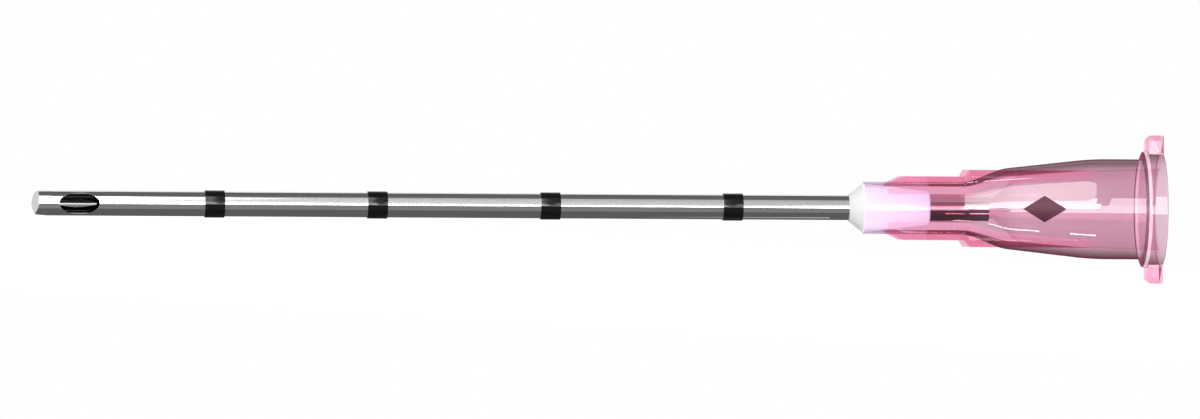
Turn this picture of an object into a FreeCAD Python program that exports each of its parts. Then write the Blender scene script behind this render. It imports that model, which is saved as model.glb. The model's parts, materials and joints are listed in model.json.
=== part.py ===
import FreeCAD, Part
import math
import os

# A microcannula: a blunt steel tube with a closed, domed tip and a side port, glued into a moulded,
# clear tinted hub with a female luer socket, four ribs and two lugs. All lengths are in millimetres.
#
# Every piece is first drawn about the part's own axis. The mouth of the hub lies in the plane x = 0,
# the axis is the X axis and the tip points towards -X. The lugs stand at +Z and -Z, and the port and
# the mark face -Y. The part is then laid down as it comes to rest, on the end of its lower lug and on
# its tip. Stations along the axis are counted from the mouth towards the tip.

# Tube
TUBE_R = 0.65
TUBE_WALL = 0.12
TUBE_LENGTH = 50.38
CROWN_R = 0.90
CROWN_EDGE_R = 0.28
TIP_WALL = 0.45
BORE_END_ROUND = 0.25

# Side port, an ellipse seen along its own direction, cut to a depth below the top of the tube
PORT_LENGTH = 2.12
PORT_WIDTH = 1.13
PORT_DEPTH = 0.45
PORT_FROM_TIP = 2.49

# Depth bands, with their middles counted from the tip
BAND_WIDTH = 1.05
BAND_THICKNESS = 0.065
BANDS_FROM_TIP = (9.60, 18.15, 27.25, 36.87)

# Hub, outside: barrel behind the flange, long cone, shoulder, and neck up to the nose
BARREL_R = 2.63
BARREL_LENGTH = 3.74
BARREL_ROUND = 15.0
CONE_END_R = 2.10
CONE_LENGTH = 4.70
SHOULDER_LENGTH = 1.80
SHOULDER_ROUND = 2.00
NECK_R = 1.37
NECK_LENGTH = 5.56
NOSE_ROUND = 0.04

# Flange ring round the mouth
FLANGE_R = 3.08
FLANGE_THICKNESS = 1.00
FLANGE_ROUND = 0.12
FLANGE_SLOPE = 0.13

# Lugs for a locking collar
LUG_R = 3.90
LUG_WIDTH = 2.03
LUG_THICKNESS = 0.80
LUG_CHAMFER = 0.24
LUG_ROUND = 0.35

# Ribs, with their radii at the outer face. Their lengths run back from the front end to the low step
RIB_COUNT = 4
RIB_FIRST_ANGLE = 45.0
RIB_THICKNESS = 0.56
RIB_NOSE_R = 1.60
RIB_LOW_R = 2.11
RIB_TALL_R = 2.61
RIB_FROM_NOSE = 1.20
RIB_RAMP_LENGTH = 0.80
RIB_LOW_LENGTH = 3.20
RIB_STEP_LENGTH = 0.24
RIB_END_FROM_MOUTH = 3.55

# Luer socket: the taper is the loss of diameter for each unit of depth
SOCKET_MOUTH_R = 2.15
SOCKET_TAPER = 0.06
SOCKET_DEPTH = 7.50
SOCKET_CHAMFER = 0.10
FUNNEL_LENGTH = 1.40
THROAT_LENGTH = 0.28

# Seat of the tube in the hub, and the well for the adhesive
SEAT_CLEARANCE = 0.02
WELL_DEPTH = 3.48
WELL_FLOOR_R = 0.88
WELL_FLOOR_ROUND = 0.12
WELL_RIM_WALL = 0.10

# Bead of adhesive in front of the nose
BEAD_LENGTH = 0.77
BEAD_SIDE_GAP = 0.03
BEAD_TIP_WALL = 0.05

# Printed rhombus on the cone, which shows the side of the port
MARK_FROM_MOUTH = 6.46
MARK_LENGTH = 2.28
MARK_HEIGHT = 1.40
MARK_THICKNESS = 0.03

# Stations and sizes that follow from the sizes above
CONE_START = BARREL_LENGTH
CONE_END = CONE_START + CONE_LENGTH
NECK_START = CONE_END + SHOULDER_LENGTH
NOSE = NECK_START + NECK_LENGTH
SOCKET_FLOOR_R = SOCKET_MOUTH_R - SOCKET_TAPER * SOCKET_DEPTH / 2
THROAT_START = SOCKET_DEPTH + FUNNEL_LENGTH
SEAT = THROAT_START + THROAT_LENGTH
SEAT_R = TUBE_R + SEAT_CLEARANCE
WELL_FLOOR = NOSE - WELL_DEPTH
WELL_MOUTH_R = NECK_R - WELL_RIM_WALL
BORE_R = TUBE_R - TUBE_WALL
TIP = SEAT + TUBE_LENGTH
CROWN_CENTRE = TIP - CROWN_R
DOME_START = CROWN_CENTRE + math.sqrt((CROWN_R - CROWN_EDGE_R) ** 2 - (TUBE_R - CROWN_EDGE_R) ** 2)

ORIGIN = FreeCAD.Vector(0, 0, 0)
AXIS = FreeCAD.Vector(1, 0, 0)
SIDEWAYS = FreeCAD.Vector(0, 1, 0)
FULL_TURN = 360
QUARTER_TURN = 90


def at(station, radius, side=0.0):
    """The point at a station from the mouth and a height above the axis."""
    return FreeCAD.Vector(-station, side, radius)


def outline(corners):
    """A closed wire through (point, rounding radius) corners, with an arc at each rounded corner."""
    stops = []
    for number, (corner, radius) in enumerate(corners):
        if radius == 0:
            stops.append((corner, None, corner))
            continue
        back = (corners[number - 1][0] - corner).normalize()
        ahead = (corners[(number + 1) % len(corners)][0] - corner).normalize()
        half = back.getAngle(ahead) / 2
        inward = (back + ahead).normalize()
        setback = radius / math.tan(half)
        middle = corner + inward * (radius / math.sin(half) - radius)
        stops.append((corner + back * setback, middle, corner + ahead * setback))
    edges = []
    for number, (start, middle, end) in enumerate(stops):
        if middle is not None:
            edges.append(Part.Arc(start, middle, end).toShape())
        edges.append(Part.makeLine(end, stops[(number + 1) % len(stops)][0]))
    return Part.Wire(edges)


def turned(corners):
    """A solid of revolution about the axis, from corners in the half plane y = 0."""
    return Part.Face(outline(corners)).revolve(ORIGIN, AXIS, FULL_TURN)


def arc(centre, radius, first, last):
    """The arc round a centre from one direction to another, both seen from that centre."""
    first = FreeCAD.Vector(first).normalize()
    last = FreeCAD.Vector(last).normalize()
    middle = (first + last).normalize()
    return Part.Arc(centre + first * radius, centre + middle * radius, centre + last * radius).toShape()


def domed_rod():
    """The tube as a full rod, with a shallow crown at the tip and a round edge where the two meet."""
    edge_centre = at(DOME_START, TUBE_R - CROWN_EDGE_R)
    crown_centre = at(CROWN_CENTRE, 0)
    meeting = edge_centre - crown_centre
    edges = [
        Part.makeLine(at(SEAT, 0), at(SEAT, TUBE_R)),
        Part.makeLine(at(SEAT, TUBE_R), at(DOME_START, TUBE_R)),
        arc(edge_centre, CROWN_EDGE_R, at(0, 1), meeting),
        arc(crown_centre, CROWN_R, meeting, at(1, 0)),
        Part.makeLine(at(TIP, 0), at(SEAT, 0)),
    ]
    return Part.Face(Part.Wire(edges)).revolve(ORIGIN, AXIS, FULL_TURN)


def hub_outside():
    """Flange, barrel, cone, shoulder and neck as one turned solid."""
    return turned([
        (at(0, 0), 0),
        (at(0, FLANGE_R), FLANGE_ROUND),
        (at(FLANGE_THICKNESS, FLANGE_R), FLANGE_ROUND),
        (at(FLANGE_THICKNESS + FLANGE_SLOPE, BARREL_R), 0),
        (at(CONE_START, BARREL_R), BARREL_ROUND),
        (at(CONE_END, CONE_END_R), SHOULDER_ROUND),
        (at(NECK_START, NECK_R), SHOULDER_ROUND),
        (at(NOSE, NECK_R), NOSE_ROUND),
        (at(NOSE, 0), 0),
    ])


def rib():
    """One rib standing at +Z, from its end on the barrel to its ramp near the nose."""
    front = NOSE - RIB_FROM_NOSE
    ramp_end = front - RIB_RAMP_LENGTH
    step_start = ramp_end - RIB_LOW_LENGTH
    step_end = step_start - RIB_STEP_LENGTH
    profile = outline([
        (at(front, 0, -RIB_THICKNESS / 2), 0),
        (at(front, RIB_NOSE_R, -RIB_THICKNESS / 2), 0),
        (at(ramp_end, RIB_LOW_R, -RIB_THICKNESS / 2), 0),
        (at(step_start, RIB_LOW_R, -RIB_THICKNESS / 2), 0),
        (at(step_end, RIB_TALL_R, -RIB_THICKNESS / 2), 0),
        (at(RIB_END_FROM_MOUTH, RIB_TALL_R, -RIB_THICKNESS / 2), 0),
        (at(RIB_END_FROM_MOUTH, 0, -RIB_THICKNESS / 2), 0),
    ])
    return Part.Face(profile).extrude(SIDEWAYS * RIB_THICKNESS)


def lug():
    """One lug standing at +Z, flush with the mouth, with rounded corners and a chamfer."""
    root = SOCKET_MOUTH_R
    along = Part.Face(outline([
        (at(0, root, -LUG_WIDTH), 0),
        (at(0, LUG_R, -LUG_WIDTH), 0),
        (at(LUG_THICKNESS - LUG_CHAMFER, LUG_R, -LUG_WIDTH), 0),
        (at(LUG_THICKNESS, LUG_R - LUG_CHAMFER, -LUG_WIDTH), 0),
        (at(LUG_THICKNESS, root, -LUG_WIDTH), 0),
    ])).extrude(SIDEWAYS * LUG_WIDTH * 2)
    across = Part.Face(outline([
        (at(0, root, -LUG_WIDTH / 2), 0),
        (at(0, LUG_R, -LUG_WIDTH / 2), LUG_ROUND),
        (at(0, LUG_R, LUG_WIDTH / 2), LUG_ROUND),
        (at(0, root, LUG_WIDTH / 2), 0),
    ])).extrude(AXIS * -LUG_THICKNESS)
    return along.common(across)


def hub_hollow():
    """Luer socket, funnel, throat, tube seat and adhesive well, as one turned cutter."""
    return turned([
        (at(0, 0), 0),
        (at(0, SOCKET_MOUTH_R + SOCKET_CHAMFER), 0),
        (at(SOCKET_CHAMFER, SOCKET_MOUTH_R - SOCKET_TAPER * SOCKET_CHAMFER / 2), 0),
        (at(SOCKET_DEPTH, SOCKET_FLOOR_R), 0),
        (at(THROAT_START, BORE_R), 0),
        (at(SEAT, BORE_R), 0),
        (at(SEAT, SEAT_R), 0),
        (at(WELL_FLOOR, SEAT_R), 0),
        (at(WELL_FLOOR, WELL_FLOOR_R), WELL_FLOOR_ROUND),
        (at(NOSE, WELL_MOUTH_R), 0),
        (at(NOSE, 0), 0),
    ])


def make_hub():
    """The moulded hub with its ribs, lugs and hollow."""
    outside = hub_outside()
    additions = []
    for number in range(RIB_COUNT):
        blade = rib()
        blade.rotate(ORIGIN, AXIS, RIB_FIRST_ANGLE + number * FULL_TURN / RIB_COUNT)
        additions.append(blade)
    for angle in (0, FULL_TURN / 2):
        tab = lug()
        tab.rotate(ORIGIN, AXIS, angle)
        additions.append(tab)
    return outside.fuse(additions).cut(hub_hollow()).removeSplitter()


def make_tube():
    """The steel tube, closed at its tip, with its bore and its side port."""
    bore = turned([
        (at(SEAT, 0), 0),
        (at(SEAT, BORE_R), 0),
        (at(TIP - TIP_WALL, BORE_R), BORE_END_ROUND),
        (at(TIP - TIP_WALL, 0), 0),
    ])
    middle = FreeCAD.Vector(PORT_FROM_TIP - TIP, 0, 0)
    rim = Part.Ellipse(middle, PORT_LENGTH / 2, PORT_WIDTH / 2)
    port = Part.Face(Part.Wire(rim.toShape()))
    port.rotate(middle, AXIS, QUARTER_TURN)
    port.translate(SIDEWAYS * (PORT_DEPTH - TUBE_R))
    return domed_rod().cut(bore).cut(port.extrude(SIDEWAYS * -TUBE_R * 2))


def make_adhesive():
    """The adhesive that fills the well round the tube and ends in a cone in front of the nose."""
    bead_r = NECK_R - NOSE_ROUND - BEAD_SIDE_GAP
    return turned([
        (at(WELL_FLOOR, TUBE_R), 0),
        (at(WELL_FLOOR, WELL_FLOOR_R), WELL_FLOOR_ROUND),
        (at(NOSE, WELL_MOUTH_R), 0),
        (at(NOSE, bead_r), 0),
        (at(NOSE + BEAD_LENGTH, TUBE_R + BEAD_TIP_WALL), 0),
        (at(NOSE + BEAD_LENGTH, TUBE_R), 0),
    ])


def make_band(from_tip):
    """One depth band, a thin black sleeve on the tube."""
    start = TIP - from_tip - BAND_WIDTH / 2
    end = start + BAND_WIDTH
    round_over = min(BAND_THICKNESS, BAND_WIDTH / 2) / 2
    return turned([
        (at(start, TUBE_R), 0),
        (at(start, TUBE_R + BAND_THICKNESS), round_over),
        (at(end, TUBE_R + BAND_THICKNESS), round_over),
        (at(end, TUBE_R), 0),
    ])


def make_mark():
    """The printed rhombus, a thin skin that follows the cone of the hub."""
    slope = (CONE_END_R - BARREL_R) / CONE_LENGTH
    start = MARK_FROM_MOUTH - MARK_LENGTH
    end = MARK_FROM_MOUTH + MARK_LENGTH
    start_r = BARREL_R + slope * (start - CONE_START)
    end_r = BARREL_R + slope * (end - CONE_START)
    skin = turned([
        (at(start, start_r), 0),
        (at(start, start_r + MARK_THICKNESS), 0),
        (at(end, end_r + MARK_THICKNESS), 0),
        (at(end, end_r), 0),
    ])
    rhombus = Part.Face(outline([
        (at(MARK_FROM_MOUTH - MARK_LENGTH / 2, 0), 0),
        (at(MARK_FROM_MOUTH, MARK_HEIGHT / 2), 0),
        (at(MARK_FROM_MOUTH + MARK_LENGTH / 2, 0), 0),
        (at(MARK_FROM_MOUTH, -MARK_HEIGHT / 2), 0),
    ]))
    return skin.common(rhombus.extrude(SIDEWAYS * -FLANGE_R))


def resting_tilt():
    """The angle between the axis and the ground, with the lower lug's end and the tip both on it."""
    along = DOME_START - (LUG_THICKNESS - LUG_CHAMFER)
    across = LUG_R - (TUBE_R - CROWN_EDGE_R)
    return math.degrees(math.atan2(across, along) - math.asin(CROWN_EDGE_R / math.hypot(along, across)))


def lay_down(pieces):
    """The pieces turned to the resting angle, with the middle of their box's underside at the origin."""
    laid = {}
    for name, piece in pieces.items():
        laid[name] = piece.copy()
        laid[name].rotate(ORIGIN, SIDEWAYS, -resting_tilt())
    box = Part.makeCompound(list(laid.values())).optimalBoundingBox(False, False)
    shift = FreeCAD.Vector(-box.Center.x, -box.Center.y, -box.ZMin)
    for piece in laid.values():
        piece.translate(shift)
    return laid, shift


def main():
    """Build every piece, lay the part down and write one file for each piece."""
    pieces = {
        "hub": make_hub(),
        "cannula_tube": make_tube(),
        "adhesive": make_adhesive(),
        "orientation_mark": make_mark(),
    }
    for number, from_tip in enumerate(BANDS_FROM_TIP, start=1):
        pieces[f"depth_band_{number}"] = make_band(from_tip)
    laid, mouth = lay_down(pieces)
    os.makedirs("parts", exist_ok=True)
    for name, piece in laid.items():
        solid = piece.Solids[0] if len(piece.Solids) == 1 else piece
        solid.exportStep(f"parts/{name}.step")
        print(name, "solids", len(piece.Solids), "valid", piece.isValid(), "volume", round(piece.Volume, 4))
    print("tilt", round(resting_tilt(), 4), "mouth centre", [round(value, 4) for value in mouth])


main()
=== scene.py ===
"""Looks of a microcannula: a clear pink hub, a steel tube with a side port, and black depth bands.

Sizes are in millimetres in the part's own axis frame: the origin is the middle of the hub's mouth,
x points out of the mouth, z points to a lug, and the port and the printed mark face -y. A station is
a distance from the mouth towards the tip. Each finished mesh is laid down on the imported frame. Only
the cards, flags, lamps and floor are in metres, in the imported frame.
"""

from __future__ import annotations

import json
import logging
import math
from collections.abc import Sequence
from dataclasses import dataclass, field
from enum import Enum

import bmesh
import bpy
from mathutils import Matrix, Vector

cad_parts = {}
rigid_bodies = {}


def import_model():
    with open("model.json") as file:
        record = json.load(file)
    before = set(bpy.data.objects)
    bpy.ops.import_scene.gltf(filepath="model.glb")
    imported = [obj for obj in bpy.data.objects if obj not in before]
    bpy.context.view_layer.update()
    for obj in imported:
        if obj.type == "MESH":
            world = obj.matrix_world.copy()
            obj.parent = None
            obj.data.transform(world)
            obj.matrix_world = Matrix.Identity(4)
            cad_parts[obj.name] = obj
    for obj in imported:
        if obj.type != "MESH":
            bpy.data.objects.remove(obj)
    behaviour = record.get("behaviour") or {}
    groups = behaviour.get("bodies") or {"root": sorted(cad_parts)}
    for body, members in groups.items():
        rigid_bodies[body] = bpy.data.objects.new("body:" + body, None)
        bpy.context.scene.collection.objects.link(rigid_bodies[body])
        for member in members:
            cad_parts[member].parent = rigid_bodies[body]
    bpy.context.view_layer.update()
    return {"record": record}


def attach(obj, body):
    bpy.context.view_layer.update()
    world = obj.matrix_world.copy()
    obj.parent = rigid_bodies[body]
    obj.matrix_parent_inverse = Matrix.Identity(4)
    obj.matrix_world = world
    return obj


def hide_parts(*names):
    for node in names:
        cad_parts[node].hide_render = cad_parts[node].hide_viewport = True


LOG = logging.getLogger("microcannula")
BODY = "root"
MM = 0.001
SMOOTH_BELOW = math.radians(28)
NO_LIGHT = (0.0, 0.0, 0.0)
TIP_LEVEL = 0.72

Tone = tuple[float, float, float]
Loop = list[bmesh.types.BMVert]


@dataclass(frozen=True)
class AxisFrame:
    """Where the part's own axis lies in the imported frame.

    Attributes:
        mouth: Middle of the hub's mouth, in metres.
        along: Direction out of the mouth.
    """

    mouth: Vector
    along: Vector

    @classmethod
    def from_record(cls, record: dict) -> AxisFrame:
        """Read the axis from the socket that the record states.

        Args:
            record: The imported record.

        Returns:
            The frame of the part's axis.
        """
        socket = next(mount for mount in record["mounts"] if mount["name"] == "luer_socket")
        return cls(Vector(socket["pos_m"]), Vector(socket["axis"]).normalized())

    def rotation(self) -> Matrix:
        """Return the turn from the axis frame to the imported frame."""
        side = Vector((0, 1, 0))
        return Matrix((self.along, side, self.along.cross(side))).transposed()

    def matrix(self) -> Matrix:
        """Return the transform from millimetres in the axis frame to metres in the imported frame."""
        return Matrix.Translation(self.mouth) @ self.rotation().to_4x4() @ Matrix.Scale(MM, 4)


@dataclass(frozen=True)
class Corner:
    """One corner of a section: its station, its height above the axis and how far it is rounded."""

    station: float
    height: float
    rounding: float = 0.0

    def point(self) -> Vector:
        """Return the corner in the half plane y = 0."""
        return Vector((-self.station, 0, self.height))


class Section:
    """A line through corners, with an arc at each rounded one.

    Attributes:
        ARC_STEP: Largest turn from one point of an arc to the next.
        CHORD: Largest distance from one point of an arc to the next.
    """

    ARC_STEP = math.radians(9)
    CHORD = 0.25

    def __init__(self, corners: list[Corner], ring: bool = False) -> None:
        """Keep the corners.

        Args:
            corners: The corners in order, from the mouth's side to the tip's side along the outside.
            ring: Whether the line closes on itself, as the section of a ring does.
        """
        self.corners = corners
        self.ring = ring

    def points(self) -> list[Vector]:
        """Work out the line.

        Returns:
            Its points, in order.
        """
        found: list[Vector] = []
        for number, corner in enumerate(self.corners):
            if corner.rounding == 0:
                found.append(corner.point())
                continue
            before = self.corners[number - 1].point()
            after = self.corners[(number + 1) % len(self.corners)].point()
            found.extend(self.rounded(before, corner.point(), after, corner.rounding))
        if self.ring:
            found.append(found[0].copy())
        return found

    def rounded(self, before: Vector, corner: Vector, after: Vector, radius: float) -> list[Vector]:
        """Return the points of the arc that rounds one corner.

        Args:
            before: The corner before.
            corner: The corner that is rounded.
            after: The corner after.
            radius: Radius of the arc.

        Returns:
            Points from the arc's start to its end.
        """
        back = (before - corner).normalized()
        ahead = (after - corner).normalized()
        half = back.angle(ahead) / 2
        centre = corner + (back + ahead).normalized() * (radius / math.sin(half))
        start = corner + back * (radius / math.tan(half)) - centre
        end = corner + ahead * (radius / math.tan(half)) - centre
        turn = start.angle(end)
        steps = max(2, math.ceil(turn / self.ARC_STEP), math.ceil(turn * radius / self.CHORD))
        return [centre + self.between(start, end, number / steps) for number in range(steps + 1)]

    @staticmethod
    def between(start: Vector, end: Vector, share: float) -> Vector:
        """Return the vector that lies a share of the way round from one vector to another.

        Args:
            start: The first vector.
            end: The last vector, as long as the first.
            share: How far to go, from 0 to 1.

        Returns:
            A vector of the same length.
        """
        turn = start.angle(end)
        return (start * math.sin((1 - share) * turn) + end * math.sin(share * turn)) / math.sin(turn)


class Wiring:
    """Adds nodes to one tree and joins them."""

    def __init__(self, tree: bpy.types.NodeTree) -> None:
        """Keep the tree.

        Args:
            tree: The tree that the nodes go into.
        """
        self.tree = tree

    @property
    def given(self) -> bpy.types.NodeOutputs:
        """The tree's own inputs."""
        return self.tree.nodes["Group Input"].outputs

    @property
    def result(self) -> bpy.types.NodeInputs:
        """The tree's own outputs."""
        return self.tree.nodes["Group Output"].inputs

    def add(self, kind: str, **settings: object) -> bpy.types.Node:
        """Add a node.

        Args:
            kind: The node's type.
            settings: Values of the node's own properties.

        Returns:
            The new node.
        """
        node = self.tree.nodes.new(kind)
        for name, value in settings.items():
            setattr(node, name, value)
        return node

    def join(self, source: bpy.types.NodeSocket, target: bpy.types.NodeSocket) -> None:
        """Link an output to an input."""
        self.tree.links.new(source, target)

    def put(self, target: bpy.types.NodeSocket, value: object) -> None:
        """Feed an input with another node's output, or with a plain value.

        Args:
            target: The input.
            value: The output or the value.
        """
        if isinstance(value, bpy.types.NodeSocket):
            self.join(value, target)
        else:
            target.default_value = value

    def math(self, operation: str, *values: object) -> bpy.types.NodeSocket:
        """Add a Math node.

        Args:
            operation: What the node works out.
            values: Its inputs, each an output of another node or a number.

        Returns:
            The node's output.
        """
        node = self.add("ShaderNodeMath", operation=operation)
        for target, value in zip(node.inputs, values):
            self.put(target, value)
        return node.outputs[0]

    def split(self, vector: bpy.types.NodeSocket) -> bpy.types.NodeOutputs:
        """Take a vector apart.

        Args:
            vector: The vector.

        Returns:
            Its parts X, Y and Z, by name.
        """
        node = self.add("ShaderNodeSeparateXYZ")
        self.join(vector, node.inputs[0])
        return node.outputs

    def vector(self, **parts: object) -> bpy.types.NodeSocket:
        """Put a vector together.

        Args:
            parts: Its parts X, Y and Z. One that isn't named is 0.

        Returns:
            The vector.
        """
        node = self.add("ShaderNodeCombineXYZ")
        for label, value in parts.items():
            self.put(node.inputs[label], value)
        return node.outputs[0]

    def ramp(self, value: bpy.types.NodeSocket, start: float, end: float,
             low: float = 0.0, high: float = 1.0) -> bpy.types.NodeSocket:
        """Carry a value from one span to another, and hold it at the ends.

        Args:
            value: The value.
            start: Where its span starts.
            end: Where its span ends.
            low: What it becomes at the start.
            high: What it becomes at the end.

        Returns:
            The carried value.
        """
        node = self.add("ShaderNodeMapRange")
        self.join(value, node.inputs["Value"])
        for label, number in (("From Min", start), ("From Max", end), ("To Min", low), ("To Max", high)):
            node.inputs[label].default_value = number
        return node.outputs[0]

    def mix(self, share: object, first: object, second: object) -> bpy.types.NodeSocket:
        """Mix two colours.

        Args:
            share: How much of the second colour there is, as an output or a number.
            first: The first colour, as an output or three numbers.
            second: The second colour.

        Returns:
            The mixed colour.
        """
        node = self.add("ShaderNodeMix", data_type="RGBA")
        self.put(node.inputs[0], share)
        colours = [socket for socket in node.inputs if socket.type == "RGBA"]
        for target, value in zip(colours, (first, second)):
            self.put(target, value if isinstance(value, bpy.types.NodeSocket) else (*value, 1))
        return next(socket for socket in node.outputs if socket.type == "RGBA")

    def attribute(self, name: str) -> bpy.types.NodeSocket:
        """Return the value that the mesh stores under a name."""
        return self.add("ShaderNodeAttribute", attribute_name=name).outputs["Fac"]

    def shape_of(self, item: bpy.types.NodeSocket) -> bpy.types.NodeSocket:
        """Read the geometry of an object.

        Args:
            item: The input that names the object.

        Returns:
            Its geometry.
        """
        info = self.add("GeometryNodeObjectInfo")
        self.join(item, info.inputs["Object"])
        return info.outputs["Geometry"]


class Kind(Enum):
    """The kinds of input that a tree can have."""

    GEOMETRY = "NodeSocketGeometry"
    OBJECT = "NodeSocketObject"
    MATERIAL = "NodeSocketMaterial"
    COUNT = "NodeSocketInt"
    NUMBER = "NodeSocketFloat"


class Modelling:
    """What more than one piece's tree uses, and what turns a tree's result into a finished piece.

    Attributes:
        MERGE: Distance up to which two points are one.
    """

    MERGE = 0.00005

    def __init__(self, frame: AxisFrame) -> None:
        """Build the lathe.

        Args:
            frame: Where the part's axis lies.
        """
        self.frame = frame
        self.lathe = self.lathe_tree()

    @staticmethod
    def new_tree(name: str, inputs: dict[str, Kind]) -> Wiring:
        """Start a Geometry Nodes tree with named inputs and one geometry output.

        Args:
            name: The tree's name.
            inputs: The kind of each input, by its name.

        Returns:
            The wiring of the new tree.
        """
        tree = bpy.data.node_groups.new(name, "GeometryNodeTree")
        for label, kind in inputs.items():
            tree.interface.new_socket(name=label, in_out="INPUT", socket_type=kind.value)
        tree.interface.new_socket(name="Geometry", in_out="OUTPUT", socket_type=Kind.GEOMETRY.value)
        tree.nodes.new("NodeGroupInput")
        tree.nodes.new("NodeGroupOutput")
        return Wiring(tree)

    def lathe_tree(self) -> bpy.types.NodeTree:
        """Build the tree that turns a section about the axis.

        Returns:
            A tree with the inputs Section and Segments.
        """
        wire = self.new_tree("lathe", {"Section": Kind.GEOMETRY, "Segments": Kind.COUNT})
        given = wire.given
        size = wire.add("GeometryNodeAttributeDomainSize", component="MESH")
        wire.join(given["Section"], size.inputs["Geometry"])
        columns = wire.math("ADD", given["Segments"], 1)
        grid = wire.add("GeometryNodeMeshGrid")
        wire.join(size.outputs["Point Count"], grid.inputs["Vertices X"])
        wire.join(columns, grid.inputs["Vertices Y"])
        index = wire.add("GeometryNodeInputIndex").outputs[0]
        sample = wire.add("GeometryNodeSampleIndex", data_type="FLOAT_VECTOR", domain="POINT")
        wire.join(given["Section"], sample.inputs["Geometry"])
        wire.join(wire.add("GeometryNodeInputPosition").outputs[0], sample.inputs["Value"])
        wire.join(wire.math("FLOOR", wire.math("DIVIDE", index, columns)), sample.inputs["Index"])
        point = wire.split(sample.outputs["Value"])
        share = wire.math("DIVIDE", wire.math("MODULO", index, columns), given["Segments"])
        angle = wire.math("MULTIPLY", share, math.tau)
        turned = wire.vector(
            X=point["X"],
            Y=wire.math("MULTIPLY", point["Z"], wire.math("SINE", angle)),
            Z=wire.math("MULTIPLY", point["Z"], wire.math("COSINE", angle)),
        )
        move = wire.add("GeometryNodeSetPosition")
        wire.join(grid.outputs["Mesh"], move.inputs["Geometry"])
        wire.join(turned, move.inputs["Position"])
        merge = wire.add("GeometryNodeMergeByDistance")
        merge.inputs["Distance"].default_value = self.MERGE
        wire.join(move.outputs[0], merge.inputs["Geometry"])
        flip = wire.add("GeometryNodeFlipFaces")
        wire.join(merge.outputs[0], flip.inputs["Mesh"])
        wire.join(flip.outputs[0], wire.result[0])
        return wire.tree

    def turned(self, wire: Wiring, section: bpy.types.NodeSocket,
               segments: bpy.types.NodeSocket) -> bpy.types.NodeSocket:
        """Place the lathe in a tree.

        Args:
            wire: The tree's wiring.
            section: The line that is turned.
            segments: How many steps a full turn has.

        Returns:
            The turned mesh.
        """
        lathe = wire.add("GeometryNodeGroup", node_tree=self.lathe)
        wire.join(section, lathe.inputs["Section"])
        wire.join(segments, lathe.inputs["Segments"])
        return lathe.outputs[0]

    @staticmethod
    def spread(wire: Wiring, item: bpy.types.NodeSocket, count: bpy.types.NodeSocket,
               first: object) -> bpy.types.NodeSocket:
        """Repeat an object evenly round the axis.

        Args:
            wire: The tree's wiring.
            item: The object to repeat.
            count: How many there are.
            first: The first one's angle, in radians.

        Returns:
            The repeated meshes.
        """
        shape = wire.shape_of(item)
        points = wire.add("GeometryNodePoints")
        wire.join(count, points.inputs["Count"])
        index = wire.add("GeometryNodeInputIndex").outputs[0]
        angle = wire.math("MULTIPLY_ADD", index, wire.math("DIVIDE", math.tau, count), first)
        turn = wire.add("FunctionNodeEulerToRotation")
        wire.join(wire.vector(X=angle), turn.inputs[0])
        place = wire.add("GeometryNodeInstanceOnPoints")
        wire.join(points.outputs[0], place.inputs["Points"])
        wire.join(shape, place.inputs["Instance"])
        wire.join(turn.outputs[0], place.inputs["Rotation"])
        real = wire.add("GeometryNodeRealizeInstances")
        wire.join(place.outputs[0], real.inputs[0])
        return real.outputs[0]

    @staticmethod
    def finish_tree(wire: Wiring, mesh: bpy.types.NodeSocket) -> bpy.types.NodeTree:
        """End a tree: realise its instances, make it smooth and give it the material of its input.

        Args:
            wire: The tree's wiring.
            mesh: The geometry so far.

        Returns:
            The tree.
        """
        real = wire.add("GeometryNodeRealizeInstances")
        smooth = wire.add("GeometryNodeSetShadeSmooth")
        dress = wire.add("GeometryNodeSetMaterial")
        wire.join(mesh, real.inputs[0])
        wire.join(real.outputs[0], smooth.inputs["Geometry"])
        wire.join(smooth.outputs[0], dress.inputs["Geometry"])
        wire.join(wire.given["Material"], dress.inputs["Material"])
        wire.join(dress.outputs[0], wire.result[0])
        return wire.tree

    @staticmethod
    def link(name: str, mesh: bpy.types.Mesh) -> bpy.types.Object:
        """Put a mesh into the scene as an object.

        Args:
            name: The object's name.
            mesh: Its mesh.

        Returns:
            The object.
        """
        made = bpy.data.objects.new(name, mesh)
        bpy.context.scene.collection.objects.link(made)
        return made

    @staticmethod
    def line_object(name: str, points: list[Vector]) -> bpy.types.Object:
        """Make an object that holds a line of edges.

        Args:
            name: The object's name.
            points: The line's points in order.

        Returns:
            The object, in the scene.
        """
        mesh = bpy.data.meshes.new(name)
        edges = [(number, number + 1) for number in range(len(points) - 1)]
        mesh.from_pydata([tuple(point) for point in points], edges, [])
        return Modelling.link(name, mesh)

    @staticmethod
    def grow(source: bpy.types.Object, tree: bpy.types.NodeTree,
             values: dict[str, object]) -> bpy.types.Mesh:
        """Run a tree on an object and keep the result as a plain mesh.

        Args:
            source: The object whose geometry the tree starts from, removed afterwards.
            tree: The tree.
            values: A value for each named input. The objects among them are removed afterwards.

        Returns:
            The new mesh.
        """
        modifier = source.modifiers.new("grow", "NODES")
        modifier.node_group = tree
        for item in tree.interface.items_tree:
            if item.in_out == "INPUT" and item.name in values:
                modifier[item.identifier] = values[item.name]
        bpy.context.view_layer.update()
        graph = bpy.context.evaluated_depsgraph_get()
        mesh = bpy.data.meshes.new_from_object(source.evaluated_get(graph), depsgraph=graph)
        source.modifiers.remove(modifier)
        helpers = [value for value in values.values() if isinstance(value, bpy.types.Object)]
        for used in (source, *helpers):
            bpy.data.objects.remove(used)
        return mesh

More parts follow.
